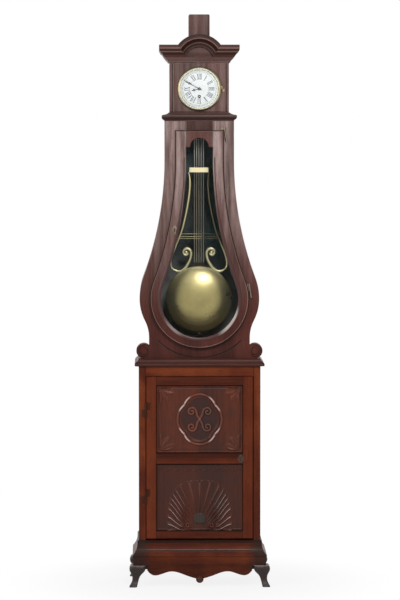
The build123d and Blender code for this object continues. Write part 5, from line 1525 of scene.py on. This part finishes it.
# %% Minute track and the finished marks
TRACK_INNER, TRACK_OUTER = 0.0690, 0.0730
TRACK_LINE = 0.0005
FIVE_MINUTE_LINE = 0.0016


def ring(radius, width, depth):
    """A flat ring about the dial's middle."""
    band = add_primitive(
        "torus", "track", major_radius=radius, minor_radius=width / 2, major_segments=96,
        minor_segments=8, location=(DIAL_MIDDLE[0], DIAL_FACE, DIAL_MIDDLE[1]),
        rotation=(math.radians(90), 0, 0),
    )
    band.scale.z = depth / width
    return band


marks = []
for hour, sign in enumerate(HOURS):
    marks += numeral(sign, hour)
for minute in range(60):
    width = TRACK_LINE if minute % 5 else FIVE_MINUTE_LINE
    middle, tall = (TRACK_INNER + TRACK_OUTER) / 2, TRACK_OUTER - TRACK_INNER
    marks.append(bar(0, middle, 0, width, tall, math.tau * minute / 60))
for radius in (TRACK_INNER, TRACK_OUTER):
    marks.append(ring(radius, TRACK_LINE, PAINT * 1.2))
dial_marks = joined(marks, "dial_marks")
hand_over(dial_marks, "case", black_paint, angle=30)
print("dial marks", len(dial_marks.data.polygons), "faces")

# %% [markdown]
# The winding square is reached through a hole in the enamel, which a thin turned ring of brass
# guards against the key. A torus is that ring.

# %% Grommet
WINDING_AT = 2.055
GROMMET_RADIUS, GROMMET_HALF = 0.0058, 0.0011
grommet = add_primitive(
    "torus", "winding_grommet", major_radius=GROMMET_RADIUS, minor_radius=GROMMET_HALF,
    major_segments=32, minor_segments=8, location=(0, DIAL_FACE, WINDING_AT),
    rotation=(math.radians(90), 0, 0),
)
hand_over(grommet, "case", aged_brass)
print("grommet", len(grommet.data.polygons), "faces")

# %% [markdown]
# ## Thin mouldings
# A bead with a painted highlight runs round the trunk door a few millimetres inside its edge, a
# near-black strand of painted shadow lies along the edge, and another bead runs round the window. All
# follow the outline of the case, which is made of arcs that meet without a corner, so their points
# come from the same radii as the boards.

# %% Violin outline
BULB_MIDDLE = 1.208
BULB_HALF, BULB_ROUND = 0.251, 0.250
TRUNK_HALF = 0.145
FLANK_LENGTH = 0.582
FLANK_TURN = 2 * math.atan2(BULB_HALF - TRUNK_HALF, FLANK_LENGTH)
FLANK_ROUND = FLANK_LENGTH / math.sin(FLANK_TURN) - BULB_ROUND


def arc(centre, radius, start, end, count):
    """Points of an arc, both ends included; the angles are in radians from +X."""
    turns = [start + (end - start) * i / (count - 1) for i in range(count)]
    return [(centre[0] + radius * math.cos(t), centre[1] + radius * math.sin(t)) for t in turns]


def violin_side(inset, top):
    """Right half of the outline moved inwards by inset, from the top level to the bottom middle."""
    points = [(TRUNK_HALF - inset, top)]
    flank_centre = (TRUNK_HALF + FLANK_ROUND, BULB_MIDDLE + FLANK_LENGTH)
    points += arc(flank_centre, FLANK_ROUND + inset, math.pi, math.pi + FLANK_TURN, 12)
    bulb_centre = (BULB_HALF - BULB_ROUND, BULB_MIDDLE)
    points += arc(bulb_centre, BULB_ROUND - inset, FLANK_TURN, 0, 6)[1:]
    points += arc((0, BULB_MIDDLE), BULB_HALF - inset, 0, -math.pi / 2, 14)[1:]
    return points


def mirror_path(points):
    return points + [(-x, z) for x, z in reversed(points[:-1])]


DOOR_TOP = box_of("trunk_door_frame")[1].z
DOOR_FACE = box_of("trunk_door_frame")[0].y
TRUNK_FACE = box_of("trunk_face_frame")[0].y
DOOR_INSET = 0.0420
WINDOW_INSET = 0.0890


def outline_bead(name, inset, top, width, material, flat=1.0):
    """A bead that follows the violin outline all the way round."""
    line = mirror_path(violin_side(inset, top))
    bead = strand(name, line, width, DOOR_FACE, flat=flat, closed=True, steps=3, bend="VECTOR")
    return hand_over(bead, "trunk_door", material, angle=60)


# a near-black strand: painted shadow along the door's outer edge
outline_bead("door_quirk", DOOR_INSET + 0.0030, DOOR_TOP - 0.003, 0.0020, shade_line_wood, flat=0.4)
# a light bead: painted highlight
door_bead = outline_bead("door_bead", DOOR_INSET + 0.0062, DOOR_TOP - 0.007, 0.0015, highlight_bead_wood)
print("door bead", len(door_bead.data.polygons), "faces")

# %% [markdown]
# The rim of the door is rounded over towards the glass, most at the bulb: a broad flat roll that
# starts below the shoulders of the window and goes round the bottom. Under the door a second line
# echoes the bulb on the face frame, from ear to ear: a near-black line of painted shade with a bead
# beside it.

# %% Round of the window and the arc under the door
ROUND_TOP = 1.800
ROUND_THIN, ROUND_GAIN = 0.0020, 0.0055
ROUND_OUT = 0.0075  # its line lies this far outside the window's edge
ROUND_SWELL = (0.10, 0.45)  # below the top, where it starts to swell and where it is full
ECHO_ROUND = 0.2470
ECHO_LIP = 0.0032
ECHO_TURNS = (math.radians(-135), math.radians(-45))


def echo(name, radius, half, flat, material):
    """A thin line on the face frame round the foot of the bulb."""
    line = arc((0, BULB_MIDDLE), radius, *ECHO_TURNS, 24)
    piece = strand(name, line, half, TRUNK_FACE, flat=flat)
    hand_over(piece, "case", material, angle=60)


round_line = mirror_path(violin_side(WINDOW_INSET - ROUND_OUT, ROUND_TOP))
swells = [float(ease(ROUND_TOP - z, *ROUND_SWELL)) for x, z in round_line]
round_widths = [ROUND_THIN + ROUND_GAIN * swell for swell in swells]
window_round = strand(
    "window_round", round_line, round_widths, DOOR_FACE, flat=0.42, steps=3, bend="VECTOR"
)
hand_over(window_round, "trunk_door", rim_wood, angle=60)
# a near-black line of painted shade, and a bead beside it
echo("face_groove", ECHO_ROUND, 0.0020, 0.5, shade_line_wood)
echo("face_bead", ECHO_ROUND + ECHO_LIP, 0.0012, 0.8, sheen_wood)
print("window round", len(window_round.data.polygons), "faces")

# %% [markdown]
# The hood's front has a narrow strip down each side, set off by a bead in painted highlight and a
# groove in painted shade, and a bead under the frieze. Each is a straight strand, half sunk in the
# board.

# %% Hood beads
HOOD_FACE = box_of("hood_front")[0].y
HOOD_LOW, HOOD_HIGH = box_of("hood_front")[0].z + 0.002, box_of("hood_front")[1].z - 0.006
HOOD_HALFWAY = 2.09
STRIP_AT, GROOVE_AT = 0.1070, 0.1130


def upright(x, half, flat=1.0):
    line = [(x, z) for z in (HOOD_LOW, HOOD_HALFWAY, HOOD_HIGH)]
    return strand("upright", line, half, HOOD_FACE, flat=flat)


under_frieze = [(x, HOOD_HIGH) for x in (-STRIP_AT, 0, STRIP_AT)]
hood_beads = [strand("under_frieze", under_frieze, 0.0013, HOOD_FACE)]
hood_beads += [upright(side * STRIP_AT, 0.0016) for side in (-1, 1)]
grooves = [upright(side * GROOVE_AT, 0.0015, 0.4) for side in (-1, 1)]
# light beads: painted highlight; near-black grooves: painted shade
hand_over(joined(hood_beads, "hood_beads"), "case", highlight_bead_wood, angle=60)
hand_over(joined(grooves, "hood_grooves"), "case", shade_line_wood, angle=60)
print("hood beads", len(hood_beads))

# %% [markdown]
# ## Bob
# The bob is a shallow dish of thin brass, domed in front and nearly flat behind. Its section runs
# from the axis in front over the rim to the axis at the back: a point is extruded from place to
# place, and the line that it leaves is spun once round.

# %% Spun bob
BOB_RIM_FRONT, BOB_RIM_BACK = box_of("bob")[0].y + 0.030, box_of("bob")[1].y - 0.014
BOB_TURNED = 0.1399
BOB_DOME, BOB_HOLLOW = 0.0300, 0.0140
DOME_POWER = 1.4
DOME_STEPS, HOLLOW_STEPS = 10, 4


def bob_section():
    """Places (x, y) from the axis in front over the rim to the axis at the back."""
    front = [math.radians(90 * i / DOME_STEPS) for i in range(DOME_STEPS + 1)]
    back = [math.radians(90 * i / HOLLOW_STEPS) for i in range(HOLLOW_STEPS + 1)]
    dome = [
        (BOB_TURNED * math.sin(t), BOB_RIM_FRONT - BOB_DOME * math.cos(t) ** DOME_POWER)
        for t in front
    ]
    hollow = [(BOB_TURNED * math.cos(t), BOB_RIM_BACK + BOB_HOLLOW * math.sin(t)) for t in back]
    return dome + hollow


def spun_bob():
    section = bob_section()
    bob = add_primitive("plane", "bob_dish", size=0.001, location=(*section[0], BOB_MIDDLE))
    settle(bob)
    edit_all()
    bpy.ops.mesh.select_mode(type="VERT")
    bpy.ops.mesh.merge(type="CENTER")
    for (x, y), (next_x, next_y) in zip(section, section[1:]):
        step = (next_x - x, next_y - y, 0)
        bpy.ops.mesh.extrude_region_move(TRANSFORM_OT_translate={"value": step})
    bpy.ops.mesh.select_all(action="SELECT")
    bpy.ops.mesh.spin(
        steps=96, angle=math.tau, center=(0, 0, BOB_MIDDLE), axis=(0, 1, 0), use_auto_merge=True
    )
    bpy.ops.mesh.select_all(action="SELECT")
    bpy.ops.mesh.remove_doubles(threshold=1e-5)
    object_mode()
    outwards(bob)
    return bob


bob_dish = spun_bob()
hand_over(bob_dish, "pendulum", bob_brass, ["bob"], angle=60)
print("bob", len(bob_dish.data.polygons), "faces")

# %% [markdown]
# ## The finished clock
